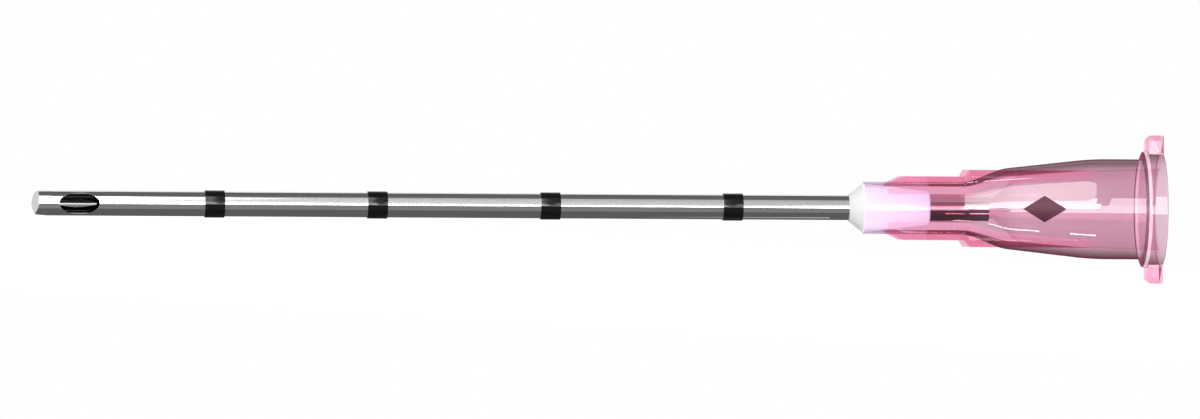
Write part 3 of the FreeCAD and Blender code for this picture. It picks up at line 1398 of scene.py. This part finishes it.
class Patterns:
    """The shader node groups, one for each pattern, which more than one finish uses.

    Attributes:
        CLOUD_DETAIL: Detail of the cloud in the grain.
        GRAIN_DETAIL: Detail of the grain itself.
        LINE_DETAIL: Detail of the drawn lines.
        HAZE_DETAIL: Detail of the haze over them.
    """

    CLOUD_DETAIL = 3.0
    GRAIN_DETAIL = 4.0
    LINE_DETAIL = 5.0
    HAZE_DETAIL = 2.0

    def __init__(self, frame: AxisFrame) -> None:
        """Build the groups.

        Args:
            frame: Where the part's axis lies, so that patterns follow it.
        """
        self.frame = frame
        self.groups = {Pattern.GRAIN: self.grain_group(), Pattern.DRAWN: self.drawn_group()}

    @staticmethod
    def new_group(pattern: Pattern, inputs: dict[str, float]) -> Wiring:
        """Start a shader group that takes a place and numbers, and puts out a mask and a height.

        Args:
            pattern: The pattern that the group makes.
            inputs: The usual value for each number's name.

        Returns:
            The wiring of the group.
        """
        tree = bpy.data.node_groups.new(pattern.value, "ShaderNodeTree")
        tree.interface.new_socket(name="Place", in_out="INPUT", socket_type="NodeSocketVector")
        for label, value in inputs.items():
            socket = tree.interface.new_socket(name=label, in_out="INPUT", socket_type=Kind.NUMBER.value)
            socket.default_value = value
        for label in ("Mask", "Height"):
            tree.interface.new_socket(name=label, in_out="OUTPUT", socket_type=Kind.NUMBER.value)
        tree.nodes.new("NodeGroupInput")
        tree.nodes.new("NodeGroupOutput")
        return Wiring(tree)

    @staticmethod
    def noise(wire: Wiring, place: bpy.types.NodeSocket, scale: bpy.types.NodeSocket,
              detail: float) -> bpy.types.NodeSocket:
        """Add a noise texture.

        Args:
            wire: The group's wiring.
            place: Where the noise is read.
            scale: Its scale.
            detail: Its detail.

        Returns:
            The noise, from 0 to 1.
        """
        node = wire.add("ShaderNodeTexNoise")
        wire.join(place, node.inputs["Vector"])
        wire.join(scale, node.inputs["Scale"])
        node.inputs["Detail"].default_value = detail
        return node.outputs[0]

    def grain_group(self) -> bpy.types.NodeTree:
        """Build the soft cloud with a fine grain on it, as moulded and cast surfaces have.

        Returns:
            The group.
        """
        wire = self.new_group(Pattern.GRAIN, {"Cloud Scale": 0.6, "Grain Scale": 9.0})
        given = wire.given
        cloud = self.noise(wire, given["Place"], given["Cloud Scale"], self.CLOUD_DETAIL)
        grain = self.noise(wire, given["Place"], given["Grain Scale"], self.GRAIN_DETAIL)
        wire.join(cloud, wire.result["Mask"])
        wire.join(grain, wire.result["Height"])
        return wire.tree

    def drawn_group(self) -> bpy.types.NodeTree:
        """Build the fine lines along a tube that was drawn through a die, with a soft haze.

        Returns:
            The group.
        """
        wire = self.new_group(Pattern.DRAWN, {"Line Scale": 26.0, "Stretch": 0.03, "Haze Scale": 0.35})
        given = wire.given
        place = wire.split(given["Place"])
        pulled = wire.vector(
            X=wire.math("MULTIPLY", place["X"], given["Stretch"]), Y=place["Y"], Z=place["Z"])
        lines = self.noise(wire, pulled, given["Line Scale"], self.LINE_DETAIL)
        haze = self.noise(wire, given["Place"], given["Haze Scale"], self.HAZE_DETAIL)
        mask = wire.math("MULTIPLY_ADD", lines, 0.5, wire.math("MULTIPLY", haze, 0.5))
        wire.join(mask, wire.result["Mask"])
        wire.join(lines, wire.result["Height"])
        return wire.tree

    def place(self, wire: Wiring) -> bpy.types.NodeSocket:
        """Give a material the place in millimetres in the axis frame.

        Args:
            wire: The material's wiring.

        Returns:
            The place, from Object coordinates.
        """
        coordinates = wire.add("ShaderNodeTexCoord")
        mapping = wire.add("ShaderNodeMapping", vector_type="TEXTURE")
        mapping.inputs["Location"].default_value = self.frame.mouth
        mapping.inputs["Rotation"].default_value = self.frame.rotation().to_euler()
        mapping.inputs["Scale"].default_value = (MM, MM, MM)
        wire.join(coordinates.outputs["Object"], mapping.inputs["Vector"])
        return mapping.outputs[0]


@dataclass(frozen=True)
class Finish:
    """What every finish has.

    Attributes:
        name: The material's name.
        tone: Colour where the pattern's mask is 0.
        other_tone: Colour where the mask is 1.
        roughness: Roughness where the mask is 0 and where it is 1.
        bump: Height of the pattern's relief, in metres.
        settings: Values that are the same all over, by the names of the shader's inputs.
        pattern: The pattern on the surface.
        scales: The pattern's own values, by the names of its group's inputs.
    """

    name: str
    tone: Tone
    other_tone: Tone
    roughness: tuple[float, float]
    bump: float
    settings: dict[str, object] = field(default_factory=dict)
    pattern: Pattern = Pattern.GRAIN
    scales: dict[str, float] = field(default_factory=dict)

    def build(self, patterns: Patterns) -> bpy.types.Material:
        """Make the material.

        Args:
            patterns: The shared groups.

        Returns:
            The material.
        """
        material = bpy.data.materials.new(self.name)
        material.use_nodes = True
        wire = Wiring(material.node_tree)
        shader = material.node_tree.nodes["Principled BSDF"]
        for label, value in self.settings.items():
            shader.inputs[label].default_value = value
        place = patterns.place(wire)
        effect = wire.add("ShaderNodeGroup", node_tree=patterns.groups[self.pattern])
        wire.join(place, effect.inputs["Place"])
        for label, value in self.scales.items():
            effect.inputs[label].default_value = value
        mask = effect.outputs["Mask"]
        wire.join(self.colour(wire, mask, place), shader.inputs["Base Color"])
        wire.join(wire.ramp(mask, 0.0, 1.0, *self.roughness), shader.inputs["Roughness"])
        bump = wire.add("ShaderNodeBump")
        bump.inputs["Strength"].default_value = 1.0
        bump.inputs["Distance"].default_value = self.bump
        wire.join(effect.outputs["Height"], bump.inputs["Height"])
        wire.join(bump.outputs[0], shader.inputs["Normal"])
        self.extend(wire, shader, place)
        return material

    def colour(self, wire: Wiring, mask: bpy.types.NodeSocket,
               place: bpy.types.NodeSocket) -> bpy.types.NodeSocket:
        """Return the surface's colour.

        Args:
            wire: The material's wiring.
            mask: The pattern's mask.
            place: The place in the axis frame, which some finishes need.

        Returns:
            The two tones, mixed by the mask.
        """
        return wire.mix(mask, self.tone, self.other_tone)

    def extend(self, wire: Wiring, shader: bpy.types.Node, place: bpy.types.NodeSocket) -> None:
        """Leave the shader as it is: only some finishes add to it.

        Args:
            wire: The material's wiring.
            shader: The material's shader.
            place: The place in the axis frame.
        """


@dataclass(frozen=True)
class ClearFinish(Finish):
    """Clear moulded plastic: deeper in the ribs, paler at the thin nose, and dark at its edges.

    Places along the axis are stations.

    Attributes:
        rib_tone: Colour of the ribs and lugs, where the plastic is thick.
        neck_tone: Colour of the neck, which is nearly solid.
        thin_tone: Colour round the adhesive, where the plastic is thin.
        edge_tone: Colour where the surface turns away.
        edge_from: Cosine of the angle at which the surface starts to darken.
        edge_power: How fast it darkens.
        neck_from: Middle of the change from cone to neck.
        neck_blend: Half length of that change.
        neck_plain: How far the neck's edges keep their plain colour.
        thin_from: Where the thin wall starts.
        thin_blend: Length of the change to it.
        hollow_coat: Strength of the gloss in the hollow.
        rib_coat: Strength of the gloss on the ribs and lugs.
        gloss_span: Cosines between which the gloss comes in.
        rim_from: Between which places the painted highlight on the flange's edge lies, the farther one first.
        rim_above: Distance from the axis beyond which it lies.
        rim_width: How far beyond it the painted highlight reaches.
        painted_rim_highlight: Colour of that painted highlight, given as emission.
        absorbs: Colour that the plastic lets through.
        density: How strongly it takes up the rest, per metre.
    """

    rib_tone: Tone = (1.0, 0.54, 0.70)
    neck_tone: Tone = (0.68, 0.29, 0.42)
    thin_tone: Tone = (1.0, 0.84, 1.0)
    edge_tone: Tone = (0.10, 0.002, 0.02)
    edge_from: float = 0.66
    edge_power: float = 2.5
    neck_from: float = 10.24
    neck_blend: float = 0.60
    neck_plain: float = 0.65
    thin_from: float = 12.32
    thin_blend: float = 0.15
    hollow_coat: float = 0.15
    rib_coat: float = 0.55
    gloss_span: tuple[float, float] = (0.12, 0.50)
    rim_from: tuple[float, float] = (1.01, 0.84)
    rim_above: float = 2.93
    rim_width: float = 0.18
    painted_rim_highlight: Tone = (0.55, 0.40, 0.48)
    absorbs: Tone = (0.609, 0.088, 0.331)
    density: float = 150.0

    def colour(self, wire: Wiring, mask: bpy.types.NodeSocket,
               place: bpy.types.NodeSocket) -> bpy.types.NodeSocket:
        """Return the colour from the tones, the neck, the thin wall, the ribs and the dark edges.

        Args:
            wire: The material's wiring.
            mask: The pattern's mask.
            place: The place in the axis frame.

        Returns:
            The colour.
        """
        along = wire.split(place)["X"]
        rib = wire.attribute("rib")
        neck_end = -self.neck_from - self.neck_blend
        neck = wire.ramp(along, self.neck_blend - self.neck_from, neck_end)
        thin = wire.ramp(along, -self.thin_from, -self.thin_from - self.thin_blend)
        colour = super().colour(wire, mask, place)
        for share, tone in ((neck, self.neck_tone), (thin, self.thin_tone), (rib, self.rib_tone)):
            colour = wire.mix(share, colour, tone)
        turned = wire.add("ShaderNodeLayerWeight").outputs["Facing"]
        facing = wire.math("DIVIDE", wire.math("SUBTRACT", 1.0, turned), self.edge_from)
        lit = wire.math("POWER", wire.math("MINIMUM", facing, 1.0), self.edge_power)
        plain = wire.math("MAXIMUM", wire.attribute("hollow"), rib)
        plain = wire.math("MAXIMUM", plain, wire.ramp(along, -self.neck_from, neck_end, 0.0, self.neck_plain))
        return wire.mix(wire.math("MAXIMUM", lit, plain), self.edge_tone, colour)

    def extend(self, wire: Wiring, shader: bpy.types.Node, place: bpy.types.NodeSocket) -> None:
        """Fade the gloss in the hollow, on the ribs and on edges, paint a highlight on the rim and fill the
        plastic.

        Args:
            wire: The material's wiring.
            shader: The material's shader.
            place: The place in the axis frame.
        """
        turned = wire.add("ShaderNodeLayerWeight").outputs["Facing"]
        gloss = wire.ramp(turned, 1.0 - self.gloss_span[0], 1.0 - self.gloss_span[1])
        for name, coat in (("hollow", self.hollow_coat), ("rib", self.rib_coat)):
            share = wire.math("MULTIPLY_ADD", wire.attribute(name), coat - 1.0, 1.0)
            gloss = wire.math("MULTIPLY", gloss, share)
        wire.join(gloss, shader.inputs["Coat Weight"])
        # Painted highlight: a pale emission on the flange's rounded tip-side edge, in place of light that it
        # would catch.
        parts = wire.split(place)
        squares = [wire.math("MULTIPLY", parts[label], parts[label]) for label in ("Y", "Z")]
        across = wire.math("ADD", *squares)
        rim = wire.math("GREATER_THAN", across, self.rim_above ** 2)
        for operation, value, limit in (
            ("LESS_THAN", across, (self.rim_above + self.rim_width) ** 2),
            ("GREATER_THAN", parts["X"], -self.rim_from[0]),
            ("LESS_THAN", parts["X"], -self.rim_from[1]),
        ):
            rim = wire.math("MULTIPLY", rim, wire.math(operation, value, limit))
        wire.join(wire.mix(rim, NO_LIGHT, self.painted_rim_highlight), shader.inputs["Emission Color"])
        shader.inputs["Emission Strength"].default_value = 1.0
        volume = wire.add("ShaderNodeVolumeAbsorption")
        volume.inputs["Color"].default_value = (*self.absorbs, 1)
        volume.inputs["Density"].default_value = self.density
        wire.join(volume.outputs[0], wire.tree.nodes["Material Output"].inputs["Volume"])


@dataclass(frozen=True)
class SeatedFinish(Finish):
    """A finish with a painted glow where it stands in the hub, in place of light that the clear plastic
    passes on.

    Attributes:
        painted_glow: Colour of the painted glow, given as emission.
        painted_glow_from: Station up to which the painted glow reaches.
        painted_glow_above: Height over the axis above which it is painted, far below the part for all of it.
        soften: Length of the change.
    """

    painted_glow: Tone = NO_LIGHT
    painted_glow_from: float = 12.32
    painted_glow_above: float = -100.0
    soften: float = 0.10

    def extend(self, wire: Wiring, shader: bpy.types.Node, place: bpy.types.NodeSocket) -> None:
        """Add the painted glow as emission.

        Args:
            wire: The material's wiring.
            shader: The material's shader.
            place: The place in the axis frame.
        """
        parts = wire.split(place)
        inside = wire.ramp(parts["X"], -self.painted_glow_from - self.soften, -self.painted_glow_from)
        above = wire.ramp(parts["Z"], self.painted_glow_above, self.painted_glow_above + self.soften)
        light = wire.mix(wire.math("MULTIPLY", inside, above), NO_LIGHT, self.painted_glow)
        wire.join(light, shader.inputs["Emission Color"])
        shader.inputs["Emission Strength"].default_value = 1.0


CLEAR_PINK = ClearFinish(
    "clear pink plastic", tone=(0.850, 0.618, 0.712), other_tone=(0.864, 0.644, 0.735),
    roughness=(0.0, 0.0), bump=1e-6, scales={"Cloud Scale": 0.6, "Grain Scale": 9.0},
    settings={"Transmission Weight": 1.0, "IOR": 1.0, "Coat Weight": 1.0, "Coat IOR": 1.8,
              "Coat Roughness": 0.03},
)
# Painted light: the tube's upper side inside the hub glows pink, a painted highlight.
DRAWN_STEEL = SeatedFinish(
    "drawn steel", tone=(0.84, 0.85, 0.86), other_tone=(0.90, 0.90, 0.91),
    roughness=(0.04, 0.07), bump=4e-7, settings={"Metallic": 1.0}, pattern=Pattern.DRAWN,
    scales={"Line Scale": 26.0, "Stretch": 0.03}, painted_glow=(0.54, 0.43, 0.46), painted_glow_above=0.30,
)
# Painted light: the adhesive glows faintly inside the hub, in place of light that it gets through the
# plastic.
CURED_ADHESIVE = SeatedFinish(
    "cured adhesive", tone=(0.90, 0.90, 0.90), other_tone=(0.96, 0.96, 0.96),
    roughness=(0.35, 0.45), bump=4e-6, scales={"Cloud Scale": 0.6, "Grain Scale": 9.0},
    settings={"Subsurface Weight": 0.3, "Subsurface Radius": (0.0004, 0.0004, 0.0004),
              "Subsurface Scale": 1.0},
    painted_glow=(0.26, 0.20, 0.33), painted_glow_from=15.8,
)
# Painted shade: the bore is the tube's own steel, made nearly black to stand in for the shade inside the
# tube.
BORE_PAINTED_DARK = Finish(
    "bore painted dark", tone=(0.06, 0.06, 0.06), other_tone=(0.08, 0.08, 0.08), roughness=(0.04, 0.08),
    bump=3e-7, settings={"Metallic": 1.0}, pattern=Pattern.DRAWN,
    scales={"Line Scale": 26.0, "Stretch": 0.03},
)
BAND_COATING = Finish(
    "black band coating", tone=(0.003, 0.003, 0.003), other_tone=(0.005, 0.005, 0.005),
    roughness=(0.07, 0.12), bump=1e-6, settings={"IOR": 1.45},
    scales={"Cloud Scale": 0.6, "Grain Scale": 9.0},
)
PRINTED_INK = Finish(
    "printed ink", tone=(0.085, 0.020, 0.038), other_tone=(0.105, 0.028, 0.050),
    roughness=(0.30, 0.42), bump=3e-6, settings={"Specular IOR Level": 0.2},
    scales={"Cloud Scale": 0.6, "Grain Scale": 9.0},
)


@dataclass(frozen=True)
class Glow:
    """How bright a card is at one place along x: at its lower edge and at its upper edge."""

    x: float
    lower: float
    upper: float


def even(start: float, end: float, lower: float, upper: float | None = None) -> tuple[Glow, Glow]:
    """Return the glow of a card that is the same all along x.

    Args:
        start: Where the card starts, in metres.
        end: Where it ends.
        lower: How bright it is at its lower edge.
        upper: How bright it is at its upper edge, where that differs.

    Returns:
        Its glow at both ends.
    """
    top = lower if upper is None else upper
    return Glow(start, lower, top), Glow(end, lower, top)


@dataclass(frozen=True)
class Card:
    """A curved card or flag round the part, which only reflections see.

    Attributes:
        name: Its name.
        low: Where it starts, in degrees about the x axis, from the camera's side upwards.
        high: Where it ends.
        distance: How far from the part it stands, in metres.
        glows: How bright it is at places along x, from its first to its last.
        rounding: How far the corners of its last edge are drawn back, in metres.
        STEP: Angle of one of its facets, in degrees.
        CENTRE: Height of the middle of its curve, in metres.
        SQUARENESS: Power that keeps the drawing back close to the corners.
    """

    name: str
    low: float
    high: float
    distance: float
    glows: tuple[Glow, ...]
    rounding: float = 0.0

    STEP = 4
    CENTRE = 0.002
    SQUARENESS = 6

    def build(self) -> None:
        """Make the card as a curved strip with a graded glow."""
        steps = max(2, math.ceil((self.high - self.low) / self.STEP))
        across = len(self.glows)
        points = []
        levels = []
        for share in (number / steps for number in range(steps + 1)):
            angle = math.radians(self.low + (self.high - self.low) * share)
            y = -self.distance * math.cos(angle)
            z = self.distance * math.sin(angle) + self.CENTRE
            drawn_back = self.rounding * abs(2 * share - 1) ** self.SQUARENESS
            for glow in self.glows:
                points.append((glow.x - (drawn_back if glow is self.glows[-1] else 0.0), y, z))
                levels.append(glow.lower + (glow.upper - glow.lower) * share)
        starts = [across * row + column for row in range(steps) for column in range(across - 1)]
        faces = [(start, start + 1, start + across + 1, start + across) for start in starts]
        glowing(self.name, points, faces, levels)


@dataclass(frozen=True)
class TableCard:
    """A flat card just over the floor, whose front edge follows the rising axis.

    Attributes:
        name: Its name.
        layer: How many layers over the floor it lies.
        reach: How far in front of the axis it goes under the tube, as a share of the axis's height.
        hub_reach: The same under the hub.
        level: How bright it is.
        LAYER: Height of one layer, in metres.
        LEFT: Where the card ends beyond the tip.
        RIGHT: Where it ends beyond the mouth.
        BACK: Where it ends behind the part.
        TIP: Place along x and height of the axis at the tip.
        NOSE: The same at the hub's nose.
        MOUTH: The same at the hub's mouth.
        TURN: Length over which the front edge goes from the tube's reach to the hub's.
    """

    name: str
    layer: int
    reach: float
    hub_reach: float
    level: float

    LAYER = 0.00001
    LEFT = -0.0297
    RIGHT = 0.20
    BACK = 0.30
    TIP = (-0.0296, 0.0009)
    NOSE = (0.014, 0.0032)
    MOUTH = (0.030, 0.0041)
    TURN = 0.002

    def build(self) -> None:
        """Lay the card down."""
        tip_front = -self.TIP[1] * self.reach
        mouth_front = -self.MOUTH[1] * self.hub_reach
        outline = [
            (self.LEFT, tip_front),
            (self.TIP[0], tip_front),
            (self.NOSE[0], -self.NOSE[1] * self.reach),
            (self.NOSE[0] + self.TURN, -self.NOSE[1] * self.hub_reach),
            (self.MOUTH[0], mouth_front),
            (self.RIGHT, mouth_front),
            (self.RIGHT, self.BACK),
            (self.LEFT, self.BACK),
        ]
        plain_card(self.name, [(x, y, self.layer * self.LAYER) for x, y in outline], self.level)


def plain_card(name: str, outline: list[tuple[float, float, float]], *levels: float) -> None:
    """Make a card with one face.

    Args:
        name: Its name.
        outline: Its corners, in metres.
        levels: How bright it is: one number, or one for each corner.
    """
    each = levels if len(levels) > 1 else levels * len(outline)
    glowing(name, outline, [tuple(range(len(outline)))], each)


def glowing(name: str, points: list[tuple[float, float, float]], faces: list[tuple[int, ...]],
            levels: Sequence[float]) -> None:
    """Make a card that only reflections see.

    Args:
        name: Its name.
        points: Its corners, in metres.
        faces: Its faces.
        levels: How bright it is at each corner.
    """
    mesh = bpy.data.meshes.new(name)
    mesh.from_pydata(points, [], faces)
    mesh.attributes.new("glow", "FLOAT", "POINT").data.foreach_set("value", levels)
    mesh.materials.append(glow_material(name))
    card = Modelling.link(name, mesh)
    card.visible_camera = False
    card.visible_diffuse = False
    card.visible_volume_scatter = False
    card.visible_shadow = False


def glow_material(name: str) -> bpy.types.Material:
    """Make a material that glows as strongly as the mesh's glow attribute says.

    Rays that haven't been reflected yet go straight through it, also behind clear plastic.

    Args:
        name: The material's name.

    Returns:
        The material.
    """
    material = bpy.data.materials.new(name)
    material.use_nodes = True
    wire = Wiring(material.node_tree)
    material.node_tree.nodes.clear()
    glow = wire.add("ShaderNodeEmission")
    wire.join(wire.attribute("glow"), glow.inputs["Strength"])
    reflections = wire.add("ShaderNodeLightPath").outputs["Glossy Depth"]
    seen = wire.add("ShaderNodeMixShader")
    wire.join(wire.math("MINIMUM", reflections, 1.0), seen.inputs["Fac"])
    wire.join(wire.add("ShaderNodeBsdfTransparent").outputs[0], seen.inputs[1])
    wire.join(glow.outputs[0], seen.inputs[2])
    result = wire.add("ShaderNodeOutputMaterial")
    wire.join(seen.outputs[0], result.inputs["Surface"])
    material.cycles.emission_sampling = "NONE"
    return material


@dataclass(frozen=True)
class Lamp:
    """A soft lamp that faces the part, which reflections don't see.

    Attributes:
        name: Its name.
        place: Where it hangs, in metres.
        power: Its power, in watts.
        size: Length of its sides, in metres.
    """

    name: str
    place: tuple[float, float, float]
    power: float
    size: float = 0.45

    def build(self) -> None:
        """Hang the lamp."""
        light = bpy.data.lights.new(self.name, "AREA")
        light.size = self.size
        light.energy = self.power
        lamp = bpy.data.objects.new(self.name, light)
        lamp.location = self.place
        lamp.rotation_euler = (-Vector(self.place)).to_track_quat("-Z", "Y").to_euler()
        lamp.visible_glossy = False
        lamp.visible_transmission = False
        bpy.context.scene.collection.objects.link(lamp)


@dataclass
class Studio:
    """White floor and background, plain soft lamps, and the cards that the steel and the hub reflect.

    The curved cards stand about 1 m away. Each stretch of the part mirrors its own place along x,
    because its surface has its own slope: the cone about -0.1 m, the tube 0.03 to 0.115 m from its
    tip to the hub, and the barrel about 0.15 m.

    Attributes:
        floor_size: Length of the floor's sides, in metres.
        floor_glow: How strongly the floor glows to the eye.
        floor_tone: Its tone to the eye, on which the shadow shows.
        floor_light_tone: Its tone as a source of light on the part.
        floor_roughness: Its roughness.
        world_level: Strength of the world as a light.
        far_end: Where those cards end, in metres.
        near_end: Where they start, just beyond the tip.
        near_card: Place along x and half size of the small card in front of the dome.
        line_height: Height of the small lights under the hub over the floor.
        hub_lines: Where the bright lines on the hub's lower side start and end along x.
        hub_line_shares: How far in front of the axis they lie, as shares of its height.
        hub_line_level: How bright they are.
        glow_span: Where the soft light under the adhesive and the cone starts and ends along x.
        glow_depth: Between which y it lies.
        glow_levels: How bright it is at its start and its end.
        axis_height: Height of the axis over the floor at x = 0, in metres.
        axis_rise: How much higher it lies for each metre along x.
    """

    floor_size: float = 1.2
    floor_glow: float = 0.87
    floor_tone: float = 0.28
    floor_light_tone: float = 0.8
    floor_roughness: float = 0.9
    world_level: float = 0.45
    far_end: tuple[float, float] = (-1.52, 1.5)
    near_end: float = -0.0297
    near_card: tuple[float, float] = (-0.0345, 0.03)
    line_height: float = 0.00005
    hub_lines: tuple[tuple[float, float], ...] = ((0.0188, 0.0198), (0.0201, 0.0229), (0.0246, 0.0262))
    hub_line_shares: tuple[float, float] = (0.90, 0.84)
    hub_line_level: float = 12.0
    glow_span: tuple[float, float] = (0.002, 0.0125)
    glow_depth: tuple[float, float] = (0.0002, 0.0010)
    glow_levels: tuple[float, float] = (0.1, 0.5)
    axis_height: float = 0.0025
    axis_rise: float = 0.0533
    cards: tuple[Card | TableCard, ...] = (
        Card("cone_strip", -2, 26, 0.99, even(-0.78, 0.022, 7.5)),
        Card("tip_strip", 0, 13, 0.99, even(0.022, 0.048, 3.0)),
        Card("tube_strip", 0, 8, 0.99, even(0.048, 0.114, 3.0)),
        Card("port_light", 2, 12, 0.985, even(0.022, 0.058, 16.0)),
        Card("barrel_strip", -2, 26, 0.99, even(0.114, 1.20, 4.0)),
        Card("upper_card", 7, 72, 1.00, (
            Glow(-0.78, 0.90, 0.48), Glow(0.045, 0.88, 0.46), Glow(0.072, 0.80, 0.42),
            Glow(0.112, 0.53, 0.34), Glow(1.20, 0.53, 0.34))),
        Card("back_flag", 72, 178, 1.00, even(-0.78, 1.20, 0.14, 0.10)),
        Card("back_softbox", 138, 165, 0.97, even(-0.78, 1.20, 0.9)),
        Card("tip_softbox", 20, 69, 0.95, even(-0.78, 0.010, 3.6), rounding=0.05),
        Card("tip_wrap", -2, 178, 0.97, even(-1.50, -0.78, TIP_LEVEL)),
        TableCard("white_table_card", 1, 240.0, 240.0, 4.0),
        TableCard("grey_table_card", 2, 18.0, 6.5, 0.22),
        TableCard("black_table_flag", 3, 0.95, 0.95, 0.115),
    )
    lamps: tuple[Lamp, ...] = (
        Lamp("key_lamp", (-0.25, -0.45, 0.55), 0.8),
        Lamp("fill_lamp", (0.10, -0.60, 0.16), 3.0),
        Lamp("back_lamp", (0.10, 0.50, 0.45), 1.2),
    )

    def build(self) -> None:
        """Make everything that the part stands in."""
        self.world()
        self.floor()
        for card in self.cards:
            card.build()
        self.tip_cards()
        self.hub_lights()
        for lamp in self.lamps:
            lamp.build()

    @staticmethod
    def white_rays(wire: Wiring) -> bpy.types.NodeSocket:
        """Tell the rays that see the plain white background from the others.

        Args:
            wire: The wiring of the material or the world.

        Returns:
            1 for those rays, and 0 for the others.
        """
        path = wire.add("ShaderNodeLightPath").outputs
        seen = wire.math("MAXIMUM", path["Is Camera Ray"], path["Is Glossy Ray"])
        return wire.math("MAXIMUM", seen, path["Is Transmission Ray"])

    def world(self) -> None:
        """Make the world white to look at and plain as a light."""
        world = bpy.data.worlds.new("studio")
        world.use_nodes = True
        wire = Wiring(world.node_tree)
        background = world.node_tree.nodes["Background"]
        background.inputs["Color"].default_value = (1, 1, 1, 1)
        level = wire.math("MULTIPLY_ADD", self.white_rays(wire), 1 - self.world_level, self.world_level)
        wire.join(level, background.inputs["Strength"])
        bpy.context.scene.world = world

    def floor(self) -> None:
        """Make the floor: white to look at, with the part's soft shadow on it."""
        half = self.floor_size / 2
        mesh = bpy.data.meshes.new("floor")
        outline = [(-half, -half, 0), (half, -half, 0), (half, half, 0), (-half, half, 0)]
        mesh.from_pydata(outline, [], [(0, 1, 2, 3)])
        floor = Modelling.link("floor", mesh)
        material = bpy.data.materials.new("floor")
        material.use_nodes = True
        wire = Wiring(material.node_tree)
        shader = material.node_tree.nodes["Principled BSDF"]
        shader.inputs["Roughness"].default_value = self.floor_roughness
        shader.inputs["Specular IOR Level"].default_value = 0.0
        shader.inputs["Emission Color"].default_value = (1, 1, 1, 1)
        seen = self.white_rays(wire)
        change = self.floor_tone - self.floor_light_tone
        tone = wire.math("MULTIPLY_ADD", seen, change, self.floor_light_tone)
        colour = wire.add("ShaderNodeCombineColor")
        for socket in colour.inputs:
            wire.join(tone, socket)
        wire.join(colour.outputs[0], shader.inputs["Base Color"])
        wire.join(wire.math("MULTIPLY", seen, self.floor_glow), shader.inputs["Emission Strength"])
        mesh.materials.append(material)

    def tip_cards(self) -> None:
        """Stand and lay the pale cards beyond the tip, which its dome reflects."""
        far, half = self.far_end
        near, small = self.near_card
        layer = TableCard.LAYER
        for name, x, reach, foot in (("tip_end_card", far, half, 0.0), ("tip_near_card", near, small, layer)):
            outline = [(x, -reach, foot), (x, reach, foot), (x, reach, reach), (x, -reach, reach)]
            plain_card(name, outline, TIP_LEVEL)
        flat = [(far, -half), (self.near_end, -half), (self.near_end, half), (far, half)]
        plain_card("tip_table_card", [(x, y, layer / 2) for x, y in flat], TIP_LEVEL)

    def hub_lights(self) -> None:
        """Lay the small lights under the hub, which draw the lines and the glow on its lower side."""
        near, far = self.hub_line_shares
        for number, (start, end) in enumerate(self.hub_lines, start=1):
            places = ((start, near), (end, near), (end, far), (start, far))
            outline = [
                (x, -share * (self.axis_height + self.axis_rise * x), self.line_height)
                for x, share in places
            ]
            plain_card(f"table_line_{number}", outline, self.hub_line_level)
        (start, end), (front, back) = self.glow_span, self.glow_depth
        first, last = self.glow_levels
        flat = ((start, front), (end, front), (end, back), (start, back))
        plain_card("under_glow", [(x, y, self.line_height) for x, y in flat], first, last, last, first)


@dataclass
class ProductCamera:
    """The camera at the photograph's viewing angle.

    Attributes:
        lens: Focal length.
        sensor: Width of the sensor.
        distance: Distance from the point that it aims at.
        yaw: Turn about the vertical, in degrees, away from looking straight along y.
        roll: Turn about the line of sight, in degrees, which levels the part's axis in the picture.
        aim_station: Station of the point that it aims at.
        aim_drop: How far below the axis that point lies.
        clip: Nearest and farthest distance that it sees, in metres.
    """

    lens: float = 520.0
    sensor: float = 36.0
    distance: float = 909.2
    yaw: float = 5.6
    roll: float = 3.525
    aim_station: float = 29.68
    aim_drop: float = 0.17
    clip: tuple[float, float] = (0.01, 10.0)

    def build(self, frame: AxisFrame) -> bpy.types.Object:
        """Make the camera and give it to the scene.

        Args:
            frame: Where the part's axis lies.

        Returns:
            The camera.
        """
        yaw = math.radians(self.yaw)
        roll = math.radians(self.roll)
        ahead = Vector((math.sin(yaw), math.cos(yaw), 0))
        level_right = ahead.cross(Vector((0, 0, 1)))
        right = level_right * math.cos(roll) + Vector((0, 0, math.sin(roll)))
        up = right.cross(ahead)
        aim = frame.matrix() @ Vector((-self.aim_station, 0, 0)) - up * self.aim_drop * MM
        data = bpy.data.cameras.new("product_camera")
        data.lens = self.lens
        data.sensor_width = self.sensor
        data.clip_start, data.clip_end = self.clip
        camera = bpy.data.objects.new("product_camera", data)
        turn = Matrix((right, up, -ahead)).transposed()
        camera.matrix_world = Matrix.Translation(aim - ahead * self.distance * MM) @ turn.to_4x4()
        bpy.context.scene.collection.objects.link(camera)
        bpy.context.scene.camera = camera
        return camera


def corners(box: tuple[Vector, Vector]) -> list[list[float]]:
    """Return a box as plain lists of numbers."""
    return [list(corner) for corner in box]


def clear_start_scene() -> None:
    """Remove what a new file holds."""
    for item in list(bpy.data.objects):
        bpy.data.objects.remove(item)


def main() -> None:
    """Build the studio and every piece, in order."""
    logging.basicConfig(level=logging.INFO, format="%(name)s: %(message)s")
    clear_start_scene()
    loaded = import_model()
    bpy.context.scene.view_settings.view_transform = "Standard"
    frame = AxisFrame.from_record(loaded["record"])
    ProductCamera().build(frame)
    Studio().build()
    modelling = Modelling(frame)
    patterns = Patterns(frame)
    hub = Hub()
    tube = CannulaTube()
    hub.build(modelling, tube, CLEAR_PINK.build(patterns))
    tube.build(modelling, hub, DRAWN_STEEL.build(patterns), BORE_PAINTED_DARK.build(patterns))
    AdhesiveBead().build(modelling, hub, tube, CURED_ADHESIVE.build(patterns))
    DepthBands().build(modelling, hub, tube, BAND_COATING.build(patterns))
    OrientationMark().build(modelling, hub, PRINTED_INK.build(patterns))


if __name__ == "__main__":
    main()
